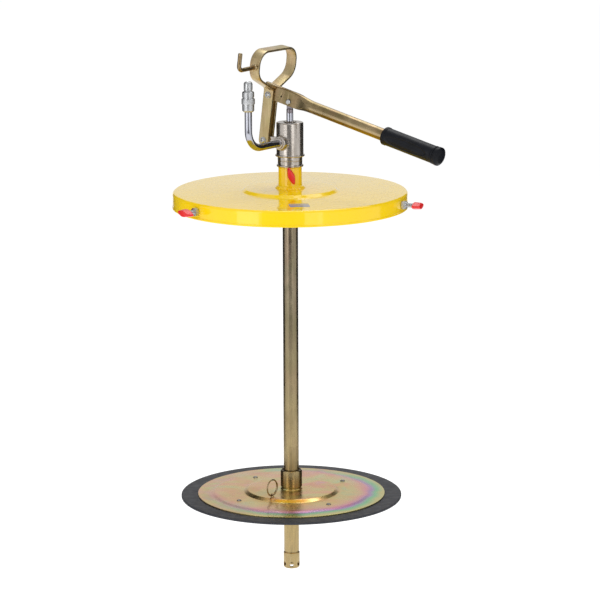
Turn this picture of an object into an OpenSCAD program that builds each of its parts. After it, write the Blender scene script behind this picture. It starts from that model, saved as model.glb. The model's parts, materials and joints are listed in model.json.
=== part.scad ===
// Hand-lever grease transfer pump for an open-top drum. Millimetres, +Z up.
// The pump axis is Z, the drum cover sits at z = 0, the lever points to +X and the outlet to -Y.

/* [Cover] */
// Outside diameter of the drum cover
cover_d = 410; // [400:1:430]
// Depth of the skirt below the seat
cover_skirt = 26.5; // [24:0.5:36]
// Thickness of the pressed sheet
cover_sheet = 1.5; // [1:0.1:2]
// Height of the raised middle of the cover
boss_rise = 5; // [3:0.5:7]
// Radius of the raised middle of the cover and of the follower
boss_r = 82; // [70:1:100]
// Height of the neck tube above the raised middle
neck_h = 38; // [34:1:44]

/* [Clamp screws] */
// Number of clamp screws round the rim
rim_screws = 3; // [3:1:4]
// Angle of the first rim screw
rim_screw_a0 = 16.5; // [0:0.5:60]
// Thread diameter of the clamp screws
screw_d = 8; // [6:1:8]
// Thread pitch, which couples turn and travel
screw_pitch = 1.25; // [1:0.25:1.25]
// Length of the grip wing across
wing_span = 32; // [28:1:36]
// Thickness of the grip wing in the middle
wing_thick = 12.5; // [11:0.5:14]
// Height of the grip wing along the screw
wing_deep = 14; // [12:1:22]

/* [Pump tube and head] */
// Outside diameter of the suction tube
tube_d = 26.9; // [25:0.1:30]
// Wall of the suction tube
tube_wall = 2; // [2:0.1:2.2]
// Depth of the foot below the seat
foot_depth = 676.5; // [640:0.5:740]
// Diameter of the pump head
head_d = 47; // [45:0.5:48]
// Height of the top of the head above the seat
head_top = 121.5; // [119:0.5:125]

/* [Outlet] */
// Diameter of the outlet pipe
pipe_d = 12.7; // [12:0.1:13]
// Distance from the pump axis to the upright part of the outlet pipe
outlet_reach = 116.5; // [105:0.5:130]
// Bend radius of the outlet pipe
pipe_bend = 32; // [26:1:36]
// Height of the filler tip above the seat
tip_top = 204.5; // [200:0.5:215]

/* [Lever and link] */
// Dip of the lever below horizontal at rest
lever_dip = 13; // [12:0.5:14]
// Length of the lever from the rod pin to the end of the grip
lever_reach = 324; // [300:1:330]
// Diameter of the lever tube
lever_d = 21.3; // [18:0.1:22]
// Diameter of the grip
grip_d = 30.5; // [28:0.5:32]
// Width of the carry strap
strap_w = 20; // [16:1:22]
// Thickness of the carry strap
strap_t = 4; // [3:0.5:4]

/* [Follower] */
// Diameter of the rubber lip of the follower plate
lip_d = 389; // [360:1:392]
// Diameter of the steel follower plate
plate_d = 330; // [310:1:340]
// Height of the top face of the rubber lip
lip_top = -541; // [-560:0.5:-500]

/* [Hidden] */

round_fn = 96;
small_fn = 40;
run_gap = 0.05;      // radial clearance of a running fit
cover_r = cover_d / 2;
boss_top = cover_sheet + boss_rise;
screw_r = screw_d / 2;

// Rim and neck clamp screws
rim_screw_z = -12;
nut_flat_r = 6.5;
nut_h = 7;
rim_stud_tip = 198.5;
wing_root = 222.5;
rim_out = [3.5, 1, 0];  // how far each rim screw stands out from its closest setting
wing_grip = 10;      // depth of the stud inside the wing
neck_screw_a = 310.5;
neck_screw_z = 32;
neck_r = 20.4;
neck_bore_r = tube_d / 2 + 0.3;
neck_base_r = 24;
neck_base_h = 4.4;
neck_top = boss_top + neck_h;
neck_stud_tip = tube_d / 2 + 0.35;
neck_wing_root = 29.5;

// Tube, head and glands
tube_r = tube_d / 2;
tube_in_r = tube_r - tube_wall;
foot_joint = -foot_depth + 30;
head_r = head_d / 2;
flange_r = head_r + 2.2;
collar_r = 21.6;
collar_flange_r = 23.4;
collar_flange_h = 3.5;
head_base = neck_top + 18;
tube_top = head_base + 8;
gland_r = 9;
gland_z = head_top - 15.5;
nut_gland_h = 7;
rod_r = 6;
outlet_z = 88;
outlet_bore_r = 4;

// Foot valve
foot_r = 14.3;
foot_hole_r = 4;
foot_hole_z = -foot_depth + 8;
foot_seat_z = -foot_depth + 22.5;
foot_ball_r = 8;
foot_seat_r = 6;
foot_spigot_top = foot_seat_z + 21;
stop_pin_z = foot_seat_z + 18.3;
stop_pin_r = 1.5;

// Outlet pipe, coupling and check valve
pipe_r = pipe_d / 2;
boss_out_r = 12.3;
boss_out_end = 31;
pipe_rise_z = outlet_z + pipe_bend;
couple_z0 = 153;
couple_z1 = 188;
couple_r = 10.3;
sleeve_r = 11.5;
sleeve_z0 = 166;
sleeve_z1 = 175.5;
tip_r = 7.5;
valve_bore_r = 6.5;
check_seat_z = couple_z0 + 8;
check_ball_r = 5;
check_seat_r = 3.5;
spring_top = couple_z1 - 4;

// Linkage pivots in the lever plane
rod_pivot_z = 156.6;
link_pivot = [-52, 86];
fulcrum = [-42.2, 0];  // in the lever's own axes, measured from the rod pin
pin_r = 3;
hole_gap = 0.06;
fulcrum_hole_r = 6.2;
lever_line = 5.5;      // height of the tube's centreline above the line of the holes
root_mid = 6.3;        // height of the root's middle above the line of the holes
root_half_h = 13.5;
root_half_w = 4.2;
root_wall = 1.8;
root_end = -55;
root_front = 11;
lever_r = lever_d / 2;
grip_len = 118;
grip_start = lever_reach - grip_len;
eye_t = 4.2;
eye_r = 5.5;
eye_base_z = rod_pivot_z - 19;
eye_shoulder_z = rod_pivot_z - 12.2;
spigot_r = 3.5;
pin_head_y = -4.5;
clip_y = 4.5;

// Carry strap, in the link's own axes: x forward, y across, z up the link
link_lean = 7.8;
link_len = 81;
leg_in = 4.5;
leg_out = leg_in + strap_t;
loop_top = 164;
loop_lower = 92.6;

// Piston
piston_z = -618;
piston_r = 9.4;
piston_top_r = 10.9;
piston_ball_r = 6;
piston_seat_r = 4.5;

// Follower
plate_r = plate_d / 2;
lip_r = lip_d / 2;
lip_t = 4;
plate_t = 2;
bead_r = 138;
bead_rise = 2;
plate_top = lip_top + plate_t + bead_rise;
follower_boss_top = plate_top + boss_rise;
backing_t = 2;
rivet_r = 112;
rivet_a0 = 72.4;
collar_z0 = lip_top + 13;
collar_z1 = collar_z0 + 30;
collar_out_r = 19;
collar_neck_r = 17.4;
collar_bore_r = tube_r + 0.35;
seal_out_r = 17.3;
ring_place = [9.6, -68.3];
ring_major = 14;
ring_wire = 1.5;
staple_z = follower_boss_top + 3;

// A ring or disc from z0 to z1
module ring(ro, ri, z0, z1, fn = round_fn) {
    translate([0, 0, z0]) difference() {
        cylinder(r = ro, h = z1 - z0, $fn = fn);
        translate([0, 0, -1]) cylinder(r = ri, h = z1 - z0 + 2, $fn = fn);
    }
}

module rod_y(r, y0, y1, fn = small_fn) {
    translate([0, y0, 0]) rotate([-90, 0, 0]) cylinder(r = r, h = y1 - y0, $fn = fn);
}

module rod_x(r, x0, x1, fn = small_fn) {
    translate([x0, 0, 0]) rotate([0, 90, 0]) cylinder(r = r, h = x1 - x0, $fn = fn);
}

// Direction of each rim screw round the cover
function rim_angle(i) = rim_screw_a0 + (i - 1) * 360 / rim_screws;

// Arc points in a plane, from angle a to angle b
function arc(c, r, a, b, n) = [for (i = [0:n]) c + r * [cos(a + (b - a) * i / n), sin(a + (b - a) * i / n)]];

// Puts a shape into the lever's own axes: x along the lever, z across it
module at_lever() {
    translate([0, 0, rod_pivot_z]) rotate([0, lever_dip, 0]) children();
}

// Puts a shape into the link's own axes, with its foot at the lower pivot
module at_link() {
    translate([link_pivot[0], 0, link_pivot[1]]) rotate([0, link_lean, 0]) children();
}

// ---------------------------------------------------------------- cover

// Section of the pressed cover, from the tube hole out to the skirt
module cover_section() {
    edge = 5;
    outer = concat([[neck_bore_r, boss_top], [boss_r - 4, boss_top]],
        [[boss_r + 1, cover_sheet]],
        arc([cover_r - edge, cover_sheet - edge], edge, 90, 0, 6),
        [[cover_r, -cover_skirt]]);
    inner = concat([[cover_r - cover_sheet, -cover_skirt]],
        arc([cover_r - edge, cover_sheet - edge], edge - cover_sheet, 0, 90, 6),
        [[boss_r + 0.2, 0], [boss_r - 4.8, boss_rise]],
        [[neck_bore_r, boss_rise]]);
    polygon(concat(outer, inner));
}

module cover() {
    color("gold") difference() {
        rotate_extrude($fn = round_fn) cover_section();
        for (i = [1:rim_screws])
            rotate([0, 0, rim_angle(i)]) translate([0, 0, rim_screw_z])
                rod_x(screw_r + 0.4, cover_r - 8, cover_r + 4);
    }
}

module cover_neck() {
    color("gold") difference() {
        union() {
            translate([0, 0, boss_top]) cylinder(r = neck_base_r, h = neck_base_h, $fn = round_fn);
            translate([0, 0, boss_top]) cylinder(r = neck_r, h = neck_h, $fn = round_fn);
        }
        translate([0, 0, boss_top - 1]) cylinder(r = neck_bore_r, h = neck_h + 2, $fn = round_fn);
        rotate([0, 0, neck_screw_a]) translate([0, 0, neck_screw_z]) rod_x(screw_r + 0.4, 10, neck_r + 4);
    }
}

// A weld nut on the screw axis, which is X
module weld_nut(x0) {
    difference() {
        union() {
            rotate([30, 0, 0]) rod_x(nut_flat_r / cos(30), x0, x0 + nut_h, 6);
            rod_x(nut_flat_r - 0.8, x0, x0 + nut_h + 1.5);
        }
        rod_x(screw_r, x0 - 5, x0 + nut_h + 5);
    }
}

module rim_nuts() {
    color("silver") for (i = [1:rim_screws])
        rotate([0, 0, rim_angle(i)]) translate([0, 0, rim_screw_z]) weld_nut(cover_r);
}

module neck_nut() {
    color("gold") rotate([0, 0, neck_screw_a]) translate([0, 0, neck_screw_z]) difference() {
        weld_nut_small(neck_r - 1);
        translate([0, 0, -20]) cylinder(r = neck_r, h = 40, $fn = round_fn);
    }
}

module weld_nut_small(x0) {
    difference() {
        rod_x(nut_flat_r, x0, x0 + nut_h);
        rod_x(screw_r, x0 - 5, x0 + nut_h + 5);
    }
}

module cover_label() {
    color("lightsteelblue") rotate([0, 0, 313 - 270]) translate([0, -149, cover_sheet])
        linear_extrude(0.4) square([34, 30], center = true);
}

// ---------------------------------------------------------------- clamp screws

module stud(tip, root) {
    difference() {
        rod_x(screw_r - run_gap, tip, root + wing_grip);
        translate([tip, 0, 0]) rotate([0, 90, 0]) difference() {
            translate([0, 0, -1]) cylinder(r = screw_r + 2, h = 2, $fn = small_fn);
            translate([0, 0, -1]) cylinder(r1 = screw_r - 2, r2 = screw_r, h = 2, $fn = small_fn);
        }
    }
}

module rim_stud(i) {
    color("silver") rotate([0, 0, rim_angle(i)]) translate([rim_out[i - 1], 0, rim_screw_z])
        stud(rim_stud_tip, wing_root);
}

module rim_stud_1() { rim_stud(1); }
module rim_stud_2() { rim_stud(2); }
module rim_stud_3() { rim_stud(3); }

module neck_stud() {
    color("silver") rotate([0, 0, neck_screw_a]) translate([0, 0, neck_screw_z])
        stud(neck_stud_tip, neck_wing_root);
}

// Lens-shaped grip wing on the screw axis, which is X, with its blades along Z
module wing(x0) {
    half = wing_span / 2;
    sag = wing_thick / 2;
    big = (half * half + sag * sag) / (2 * sag);
    difference() {
        intersection() {
            translate([0, big - sag, 0]) rod_x(big, x0, x0 + wing_deep, 72);
            translate([0, sag - big, 0]) rod_x(big, x0, x0 + wing_deep, 72);
        }
        rod_x(screw_r, x0 - 1, x0 + wing_grip + 0.5);
    }
}

module rim_wing(i, roll) {
    color("red") rotate([0, 0, rim_angle(i)]) translate([rim_out[i - 1], 0, rim_screw_z])
        rotate([roll, 0, 0]) wing(wing_root);
}

module rim_wing_1() { rim_wing(1, 90); }
module rim_wing_2() { rim_wing(2, 84); }
module rim_wing_3() { rim_wing(3, 82); }

module neck_wing() {
    color("red") rotate([0, 0, neck_screw_a]) translate([0, 0, neck_screw_z]) rotate([20, 0, 0])
        wing(neck_wing_root);
}

// ---------------------------------------------------------------- tube, head and foot

module suction_tube() {
    color("darkkhaki") ring(tube_r, tube_in_r, foot_joint, tube_top);
}

module pump_head() {
    color("silver") difference() {
        union() {
            translate([0, 0, head_base]) cylinder(r = head_r, h = head_top - head_base - 1, $fn = round_fn);
            translate([0, 0, head_top - 1]) cylinder(r1 = head_r, r2 = head_r - 1, h = 1, $fn = round_fn);
            translate([0, 0, head_base]) cylinder(r = flange_r, h = 3, $fn = round_fn);
        }
        translate([0, 0, head_base - 1]) cylinder(r = tube_r, h = tube_top - head_base + 1, $fn = round_fn);
        translate([0, 0, tube_top - 1])
            cylinder(r = tube_in_r, h = gland_z - 4 - tube_top + 1, $fn = round_fn);
        translate([0, 0, gland_z - 5]) cylinder(r = rod_r + 0.4, h = 6, $fn = round_fn);
        translate([0, 0, gland_z]) cylinder(r = gland_r, h = 20, $fn = round_fn);
        translate([0, 0, outlet_z]) rod_y(outlet_bore_r, -head_r - 5, 0);
    }
}

module head_collar() {
    color("silver") difference() {
        union() {
            translate([0, 0, neck_top]) cylinder(r = collar_r, h = head_base - neck_top, $fn = round_fn);
            translate([0, 0, neck_top]) cylinder(r = collar_flange_r, h = collar_flange_h, $fn = round_fn);
        }
        translate([0, 0, neck_top - 1]) cylinder(r = tube_r, h = head_base - neck_top + 2, $fn = round_fn);
    }
}

module rod_packing() {
    color("dimgray") ring(gland_r, rod_r + run_gap, gland_z, head_top - nut_gland_h);
}

module gland_nut() {
    color("silver") difference() {
        union() {
            translate([0, 0, head_top - nut_gland_h]) cylinder(r = gland_r, h = nut_gland_h, $fn = round_fn);
            translate([0, 0, head_top]) cylinder(r = gland_r + 2, h = 1.5, $fn = 6);
        }
        translate([0, 0, head_top - 20]) cylinder(r = rod_r + 0.3, h = 30, $fn = round_fn);
    }
}

module link_bracket() {
    lug_r = 7;
    color("silver") difference() {
        translate([link_pivot[0], 0, link_pivot[1]]) union() {
            rod_y(lug_r, -4.2, 4.2);
            translate([0, -4.2, -lug_r]) cube([-link_pivot[0] - head_r + 4, 8.4, 2 * lug_r]);
        }
        translate([0, 0, head_base]) cylinder(r = head_r, h = head_top - head_base, $fn = round_fn);
        translate([link_pivot[0], 0, link_pivot[1]]) rod_y(pin_r + hole_gap, -6, 6);
    }
}

module foot_valve() {
    color("darkkhaki") difference() {
        union() {
            translate([0, 0, -foot_depth]) cylinder(r1 = foot_r - 2, r2 = foot_r, h = 2, $fn = round_fn);
            translate([0, 0, -foot_depth + 2])
                cylinder(r = foot_r, h = foot_joint + foot_depth - 3.2, $fn = round_fn);
            translate([0, 0, foot_joint - 2]) cylinder(r = tube_r - 0.8, h = 2, $fn = round_fn);
            translate([0, 0, foot_joint - 1])
                cylinder(r = tube_in_r, h = foot_spigot_top - foot_joint + 1, $fn = round_fn);
        }
        translate([0, 0, -foot_depth - 1])
            cylinder(r = 11, h = foot_seat_z - 4 + foot_depth + 1, $fn = round_fn);
        translate([0, 0, foot_seat_z - 6]) cylinder(r = foot_seat_r, h = 8, $fn = round_fn);
        translate([0, 0, foot_seat_z]) cylinder(r = 10.4, h = 40, $fn = round_fn);
        for (a = [0:60:300])
            rotate([0, 0, a + 37]) translate([0, 0, foot_hole_z]) rod_y(foot_hole_r, -foot_r - 2, -8);
        translate([0, 0, stop_pin_z]) rod_x(stop_pin_r, -20, 20, 24);
    }
}

module foot_stop_pin() {
    color("silver") translate([0, 0, stop_pin_z]) rod_x(stop_pin_r, 0.1 - tube_in_r, tube_in_r - 0.1, 24);
}

module foot_ball() {
    seat = sqrt(foot_ball_r * foot_ball_r - foot_seat_r * foot_seat_r);
    color("silver") translate([0, 0, foot_seat_z + seat + 0.05]) sphere(r = foot_ball_r, $fn = small_fn);
}

// ---------------------------------------------------------------- outlet

module outlet_boss() {
    color("silver") difference() {
        translate([0, 0, outlet_z]) union() {
            rod_y(boss_out_r, -boss_out_end, -12, 72);
            rod_y(pipe_r + 2.6, -boss_out_end - 3, -boss_out_end + 1);
        }
        translate([0, 0, outlet_z - 30]) cylinder(r = head_r, h = 60, $fn = round_fn);
        translate([0, 0, outlet_z]) rod_y(pipe_r, -boss_out_end - 9, -boss_out_end + 5);
        translate([0, 0, outlet_z]) rod_y(outlet_bore_r, -boss_out_end - 9, 0);
    }
}

// Outlet pipe: level run, quarter bend, upright run
module outlet_pipe() {
    bend_y = outlet_reach - pipe_bend;
    color("gainsboro") difference() {
        union() {
            translate([0, 0, outlet_z]) rod_y(pipe_r, -bend_y, -boss_out_end + 5);
            translate([0, -bend_y, pipe_rise_z]) rotate([90, 0, -90]) rotate([0, 0, -90])
                rotate_extrude(angle = 90, $fn = 72) translate([pipe_bend, 0])
                    circle(r = pipe_r, $fn = small_fn);
            translate([0, -outlet_reach, pipe_rise_z])
                cylinder(r = pipe_r, h = couple_z0 + 6 - pipe_rise_z, $fn = small_fn);
        }
        translate([0, 0, outlet_z]) rod_y(outlet_bore_r, -bend_y, 0);
        translate([0, -bend_y, pipe_rise_z]) rotate([90, 0, -90]) rotate([0, 0, -90])
            rotate_extrude(angle = 90, $fn = 72) translate([pipe_bend, 0])
                circle(r = outlet_bore_r, $fn = small_fn);
        translate([0, -outlet_reach, pipe_rise_z]) cylinder(r = outlet_bore_r, h = 60, $fn = small_fn);
    }
}

module coupling_body() {
    color("silver") translate([0, -outlet_reach, 0]) difference() {
        union() {
            translate([0, 0, couple_z0]) cylinder(r1 = couple_r - 1, r2 = couple_r, h = 1, $fn = 72);
            translate([0, 0, couple_z0 + 1]) cylinder(r = couple_r, h = couple_z1 - couple_z0 - 2, $fn = 72);
            translate([0, 0, couple_z1 - 1]) cylinder(r1 = couple_r, r2 = couple_r - 1, h = 1, $fn = 72);
        }
        translate([0, 0, couple_z0 - 1]) cylinder(r = pipe_r, h = 7, $fn = small_fn);
        translate([0, 0, couple_z0]) cylinder(r = check_seat_r, h = 20, $fn = small_fn);
        translate([0, 0, check_seat_z]) cylinder(r = valve_bore_r, h = 60, $fn = small_fn);
    }
}

module coupling_sleeve() {
    color("silver") translate([0, -outlet_reach, 0]) ring(sleeve_r, couple_r, sleeve_z0, sleeve_z1);
}

// Nozzle that the grease gun's filler fitting goes over
module filler_tip() {
    color("silver") translate([0, -outlet_reach, 0]) difference() {
        union() {
            translate([0, 0, spring_top])
                cylinder(r = valve_bore_r, h = couple_z1 - spring_top + 1, $fn = small_fn);
            translate([0, 0, couple_z1]) cylinder(r = tip_r - 1.2, h = 3, $fn = 72);
            translate([0, 0, couple_z1 + 2]) cylinder(r = tip_r, h = tip_top - couple_z1 - 5, $fn = 72);
            translate([0, 0, tip_top - 3]) cylinder(r1 = tip_r, r2 = tip_r - 3, h = 3, $fn = 72);
        }
        translate([0, 0, spring_top - 1]) cylinder(r = 2.5, h = 60, $fn = small_fn);
    }
}

module outlet_ball() {
    seat = sqrt(check_ball_r * check_ball_r - check_seat_r * check_seat_r);
    color("silver") translate([0, -outlet_reach, check_seat_z + seat + 0.05])
        sphere(r = check_ball_r, $fn = small_fn);
}

// Points of a helix of the spring, and the tube swept round it
function helix(r, z0, z1, turns, t) =
    [r * cos(360 * turns * t), r * sin(360 * turns * t), z0 + (z1 - z0) * t];

module coil(r, wire, z0, z1, turns, per_turn, sides) {
    n = turns * per_turn;
    points = [for (i = [0:n]) let (t = i / n, c = helix(r, z0, z1, turns, t), a = 360 * turns * t)
        for (k = [0:sides - 1]) let (b = 360 * k / sides)
            c + wire * (cos(b) * [cos(a), sin(a), 0] + sin(b) * [0, 0, 1])];
    skin = [for (i = [0:n - 1]) for (k = [0:sides - 1])
        let (m = (k + 1) % sides) [i * sides + k, i * sides + m, (i + 1) * sides + m, (i + 1) * sides + k]];
    first = [for (k = [sides - 1:-1:0]) k];
    last = [for (k = [0:sides - 1]) n * sides + k];
    polyhedron(points, concat(skin, [first, last]));
}

module outlet_spring() {
    ball_top = check_seat_z + sqrt(check_ball_r * check_ball_r - check_seat_r * check_seat_r) + 2.6;
    color("silver") translate([0, -outlet_reach, 0])
        coil(4.9, 0.5, ball_top + 0.8, spring_top - 0.6, 4, 14, 6);
}

// ---------------------------------------------------------------- rod and piston

module piston_rod() {
    color("silver") {
        translate([0, 0, piston_z + 30]) cylinder(r = rod_r, h = eye_base_z - piston_z - 30, $fn = small_fn);
        translate([0, 0, eye_base_z - 1]) cylinder(r = spigot_r, h = 5, $fn = small_fn);
    }
}

// Flat eye screwed onto the top of the rod, which the lever's channel closes over
module rod_eye() {
    color("silver") difference() {
        union() {
            translate([0, 0, eye_base_z])
                cylinder(r = rod_r, h = eye_shoulder_z - eye_base_z, $fn = small_fn);
            translate([-eye_r, -eye_t / 2, eye_shoulder_z - 1])
                cube([2 * eye_r, eye_t, rod_pivot_z - eye_shoulder_z + 1]);
            translate([0, 0, rod_pivot_z]) rod_y(eye_r, -eye_t / 2, eye_t / 2);
        }
        translate([0, 0, eye_base_z - 1]) cylinder(r = spigot_r, h = 5, $fn = small_fn);
        translate([0, 0, rod_pivot_z]) rod_y(pin_r, -20, 20);
    }
}

module eye_pin() {
    color("silver") translate([0, 0, rod_pivot_z]) {
        rod_y(pin_r, pin_head_y - 1, clip_y + 3);
        rod_y(5, pin_head_y - 2.6, pin_head_y);
    }
}

module eye_clip() {
    color("dimgray") translate([0, 0, rod_pivot_z]) difference() {
        rod_y(5.5, clip_y, clip_y + 1);
        rod_y(pin_r, 0, 40);
        translate([-1.6, 0, 0]) cube([3.2, 20, 9]);
    }
}

module piston() {
    seat_top = piston_z + 6;
    color("goldenrod") difference() {
        union() {
            translate([0, 0, piston_z]) cylinder(r = piston_r, h = 40, $fn = 72);
            translate([0, 0, piston_z + 12]) cylinder(r = piston_top_r, h = 4, $fn = 72);
        }
        translate([0, 0, piston_z - 1]) cylinder(r = piston_seat_r, h = 20, $fn = small_fn);
        translate([0, 0, seat_top]) cylinder(r = 7.6, h = 19, $fn = small_fn);
        translate([0, 0, piston_z + 30]) cylinder(r = rod_r, h = 20, $fn = small_fn);
        for (a = [0:90:270])
            rotate([0, 0, a]) translate([0, 0, piston_z + 21]) rod_x(3.2, 5, 20, 24);
    }
}

module piston_cup() {
    color("dimgray") ring(tube_in_r - run_gap, piston_r, piston_z + 4, piston_z + 12);
}

module cup_retainer() {
    color("silver") ring(piston_top_r - 0.2, piston_r, piston_z, piston_z + 4);
}

module piston_ball() {
    seat = sqrt(piston_ball_r * piston_ball_r - piston_seat_r * piston_seat_r);
    color("silver") translate([0, 0, piston_z + 6 + seat + 0.05]) sphere(r = piston_ball_r, $fn = small_fn);
}

// ---------------------------------------------------------------- lever, grip and link

// Channel-shaped root, open below, that narrows into the round tube
module lever() {
    root_z = root_mid - root_half_h;
    inner = root_half_w - root_wall;
    color("silver") at_lever() difference() {
        union() {
            translate([root_end, -root_half_w, root_z])
                cube([root_front - root_end, 2 * root_half_w, 2 * root_half_h]);
            hull() {
                translate([root_front - 1, -root_half_w, root_z]) cube([1, 2 * root_half_w, 2 * root_half_h]);
                translate([0, 0, lever_line]) rod_x(lever_r - 0.1, 34, 35, 32);
            }
            translate([0, 0, lever_line]) rod_x(lever_r, 34.5, lever_reach - 6, 48);
        }
        translate([root_end - 1, -inner, root_z - 1])
            cube([root_front - root_end + 1, 2 * inner, 2 * root_half_h - root_wall + 1]);
        translate([0, 0, lever_line]) rod_x(lever_r - 2, 40, lever_reach, 48);
        rod_y(pin_r + hole_gap, -10, 10);
        translate([fulcrum[0], 0, fulcrum[1]]) rod_y(fulcrum_hole_r, -10, 10);
        translate([-17, 0, lever_line - 0.7]) rod_y(1.6, -10, 10, 24);
    }
}

module grip() {
    color("black") at_lever() translate([0, 0, lever_line]) difference() {
        union() {
            rod_x(grip_d / 2 + 1.2, grip_start, grip_start + 6, 64);
            rod_x(grip_d / 2, grip_start + 5, lever_reach - 5, 64);
            rod_x(grip_d / 2 + 1, lever_reach - 6, lever_reach - 1, 64);
            rod_x(grip_d / 2 - 1, lever_reach - 2, lever_reach, 64);
        }
        rod_x(lever_r, grip_start - 1, lever_reach - 6, 48);
    }
}

// Outline of half of the strap's loop, shrunk by t; x is across the link and y is up it.
// Its lower corner is moved out by low; its upper corner has radius r and reaches out to wide.
function loop_half(t, low, wide, r) = concat(
    [[leg_out - t, loop_lower + t * 0.4]],
    arc([31 + low, 129], 21 - t, -61, 0, 5),
    arc([wide - r, loop_top - r], r - t, 5, 90, 9));
function mirrored(p) = [for (i = [len(p) - 1:-1:0]) [-p[i][0], p[i][1]]];

module loop_outline(t) {
    polygon(concat(loop_half(t, 0, 50.5, 32), mirrored(loop_half(t, 4, 56, 30))));
}

module strap_loop() {
    difference() {
        loop_outline(0);
        loop_outline(strap_t);
    }
}

module carry_strap() {
    leg_r = strap_w / 2;
    color("darkgoldenrod") at_link() difference() {
        union() {
            translate([-strap_w / 2, 0, 0]) rotate([90, 0, 90]) linear_extrude(strap_w) strap_loop();
            for (s = [-1, 1]) {
                translate([-strap_w / 2, s * (leg_in + strap_t / 2) - strap_t / 2, 0])
                    cube([strap_w, strap_t, loop_lower + 1.5]);
                translate([0, s * (leg_in + strap_t / 2), 0]) rod_y(leg_r, -strap_t / 2, strap_t / 2);
            }
        }
        translate([-strap_w, -leg_in, 60]) cube([2 * strap_w, 2 * leg_in, 36]);
        rod_y(pin_r, -20, 20);
        translate([0, 0, link_len]) rod_y(pin_r, -20, 20);
    }
}

// Hanging hook on the outlet side of the loop: level bar, bend and upright
module hook() {
    bar = 3.8;
    bend = 8;
    reach = 99;
    rise = 30;
    z = 134;
    color("darkgoldenrod") at_link() {
        translate([0, 0, z]) rod_y(bar, -reach + bend, -56);
        translate([0, -reach + bend, z + bend]) rotate([90, 0, -90]) rotate([0, 0, -90])
            rotate_extrude(angle = 90, $fn = 48) translate([bend, 0]) circle(r = bar, $fn = 32);
        translate([0, -reach, z + bend]) cylinder(r = bar, h = rise - bend - 2, $fn = 32);
        translate([0, -reach, z + rise - 2]) cylinder(r1 = bar, r2 = bar - 1.5, h = 2, $fn = 32);
    }
}

module pivot_bolt() {
    rod_y(pin_r, -leg_out - 1, leg_out + 6);
    rod_y(4.8, -leg_out - 3.6, -leg_out);
}

module pivot_nut() {
    difference() {
        rotate([0, 30, 0]) rod_y(5.6, leg_out, leg_out + 4.6, 6);
        rod_y(pin_r, 0, 30);
    }
}

module fulcrum_bolt() { color("silver") at_link() translate([0, 0, link_len]) pivot_bolt(); }
module fulcrum_nut() { color("silver") at_link() translate([0, 0, link_len]) pivot_nut(); }
module link_bolt() { color("silver") at_link() pivot_bolt(); }
module link_nut() { color("silver") at_link() pivot_nut(); }

// ---------------------------------------------------------------- follower

// Section of the pressed follower plate
module plate_section() {
    low = lip_top;
    step = bead_rise;
    polygon([[collar_bore_r, follower_boss_top], [boss_r - 4, follower_boss_top], [boss_r + 1, plate_top],
        [bead_r - 1, plate_top], [bead_r + 1, low + plate_t], [plate_r, low + plate_t], [plate_r, low],
        [bead_r + 0.5, low], [bead_r - 1.5, low + step], [boss_r + 0.5, low + step],
        [boss_r - 4.5, low + step + boss_rise], [collar_bore_r, low + step + boss_rise]]);
}

module rivet_holes(r) {
    for (i = [0:3])
        rotate([0, 0, rivet_a0 + 90 * i]) translate([rivet_r, 0, lip_top - 20])
            cylinder(r = r, h = 40, $fn = small_fn);
}

module follower_plate() {
    color("burlywood") difference() {
        rotate_extrude($fn = round_fn) plate_section();
        rivet_holes(2.5);
    }
}

module follower_lip() {
    color("dimgray") difference() {
        rotate_extrude($fn = round_fn)
            polygon([[collar_bore_r, lip_top], [lip_r - 1, lip_top], [lip_r, lip_top - 1],
                [lip_r, lip_top - lip_t + 1], [lip_r - 1, lip_top - lip_t],
                [collar_bore_r, lip_top - lip_t]]);
        rivet_holes(2.5);
    }
}

module backing_plate() {
    color("burlywood") difference() {
        ring(plate_r, collar_bore_r, lip_top - lip_t - backing_t, lip_top - lip_t);
        rivet_holes(2.5);
    }
}

module plate_rivets() {
    low = lip_top - lip_t - backing_t;
    color("silver") for (i = [0:3])
        rotate([0, 0, rivet_a0 + 90 * i]) translate([rivet_r, 0, 0]) {
            translate([0, 0, low - 1]) cylinder(r = 2.5, h = plate_top - low + 2, $fn = small_fn);
            translate([0, 0, plate_top]) cylinder(r1 = 4.5, r2 = 3, h = 1.8, $fn = small_fn);
            translate([0, 0, low - 1.8]) cylinder(r1 = 3, r2 = 4.5, h = 1.8, $fn = small_fn);
        }
}

module follower_collar() {
    color("goldenrod") difference() {
        union() {
            translate([0, 0, follower_boss_top])
                cylinder(r = collar_neck_r, h = collar_z0 - follower_boss_top + 1, $fn = round_fn);
            translate([0, 0, collar_z0])
                cylinder(r = collar_out_r, h = collar_z1 - collar_z0 - 1, $fn = round_fn);
            translate([0, 0, collar_z1 - 1])
                cylinder(r1 = collar_out_r, r2 = collar_out_r - 1, h = 1, $fn = round_fn);
        }
        translate([0, 0, follower_boss_top - 1]) cylinder(r = collar_bore_r, h = 50, $fn = round_fn);
        translate([0, 0, collar_z1 - 8]) cylinder(r = seal_out_r, h = 20, $fn = round_fn);
    }
}

module wiper_seal() {
    color("dimgray") ring(seal_out_r, tube_r + run_gap, collar_z1 - 8, collar_z1 - 1.5);
}

// Small upright staple that the pull ring hangs in
module ring_staple() {
    color("darkgoldenrod") translate([ring_place[0], ring_place[1], 0]) difference() {
        union() {
            translate([-3, -2, follower_boss_top]) cube([6, 4, 3]);
            translate([0, 0, staple_z]) rod_y(3, -2, 2, 32);
        }
        translate([0, 0, staple_z]) rod_y(ring_wire + 0.3, -4, 4, 32);
    }
}

module pull_ring() {
    color("darkgoldenrod") translate([ring_place[0], ring_place[1], staple_z + ring_major])
        rotate([0, 90, 0]) rotate_extrude($fn = 64)
            translate([ring_major, 0]) circle(r = ring_wire, $fn = 16);
}

// ---------------------------------------------------------------- selection

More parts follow.
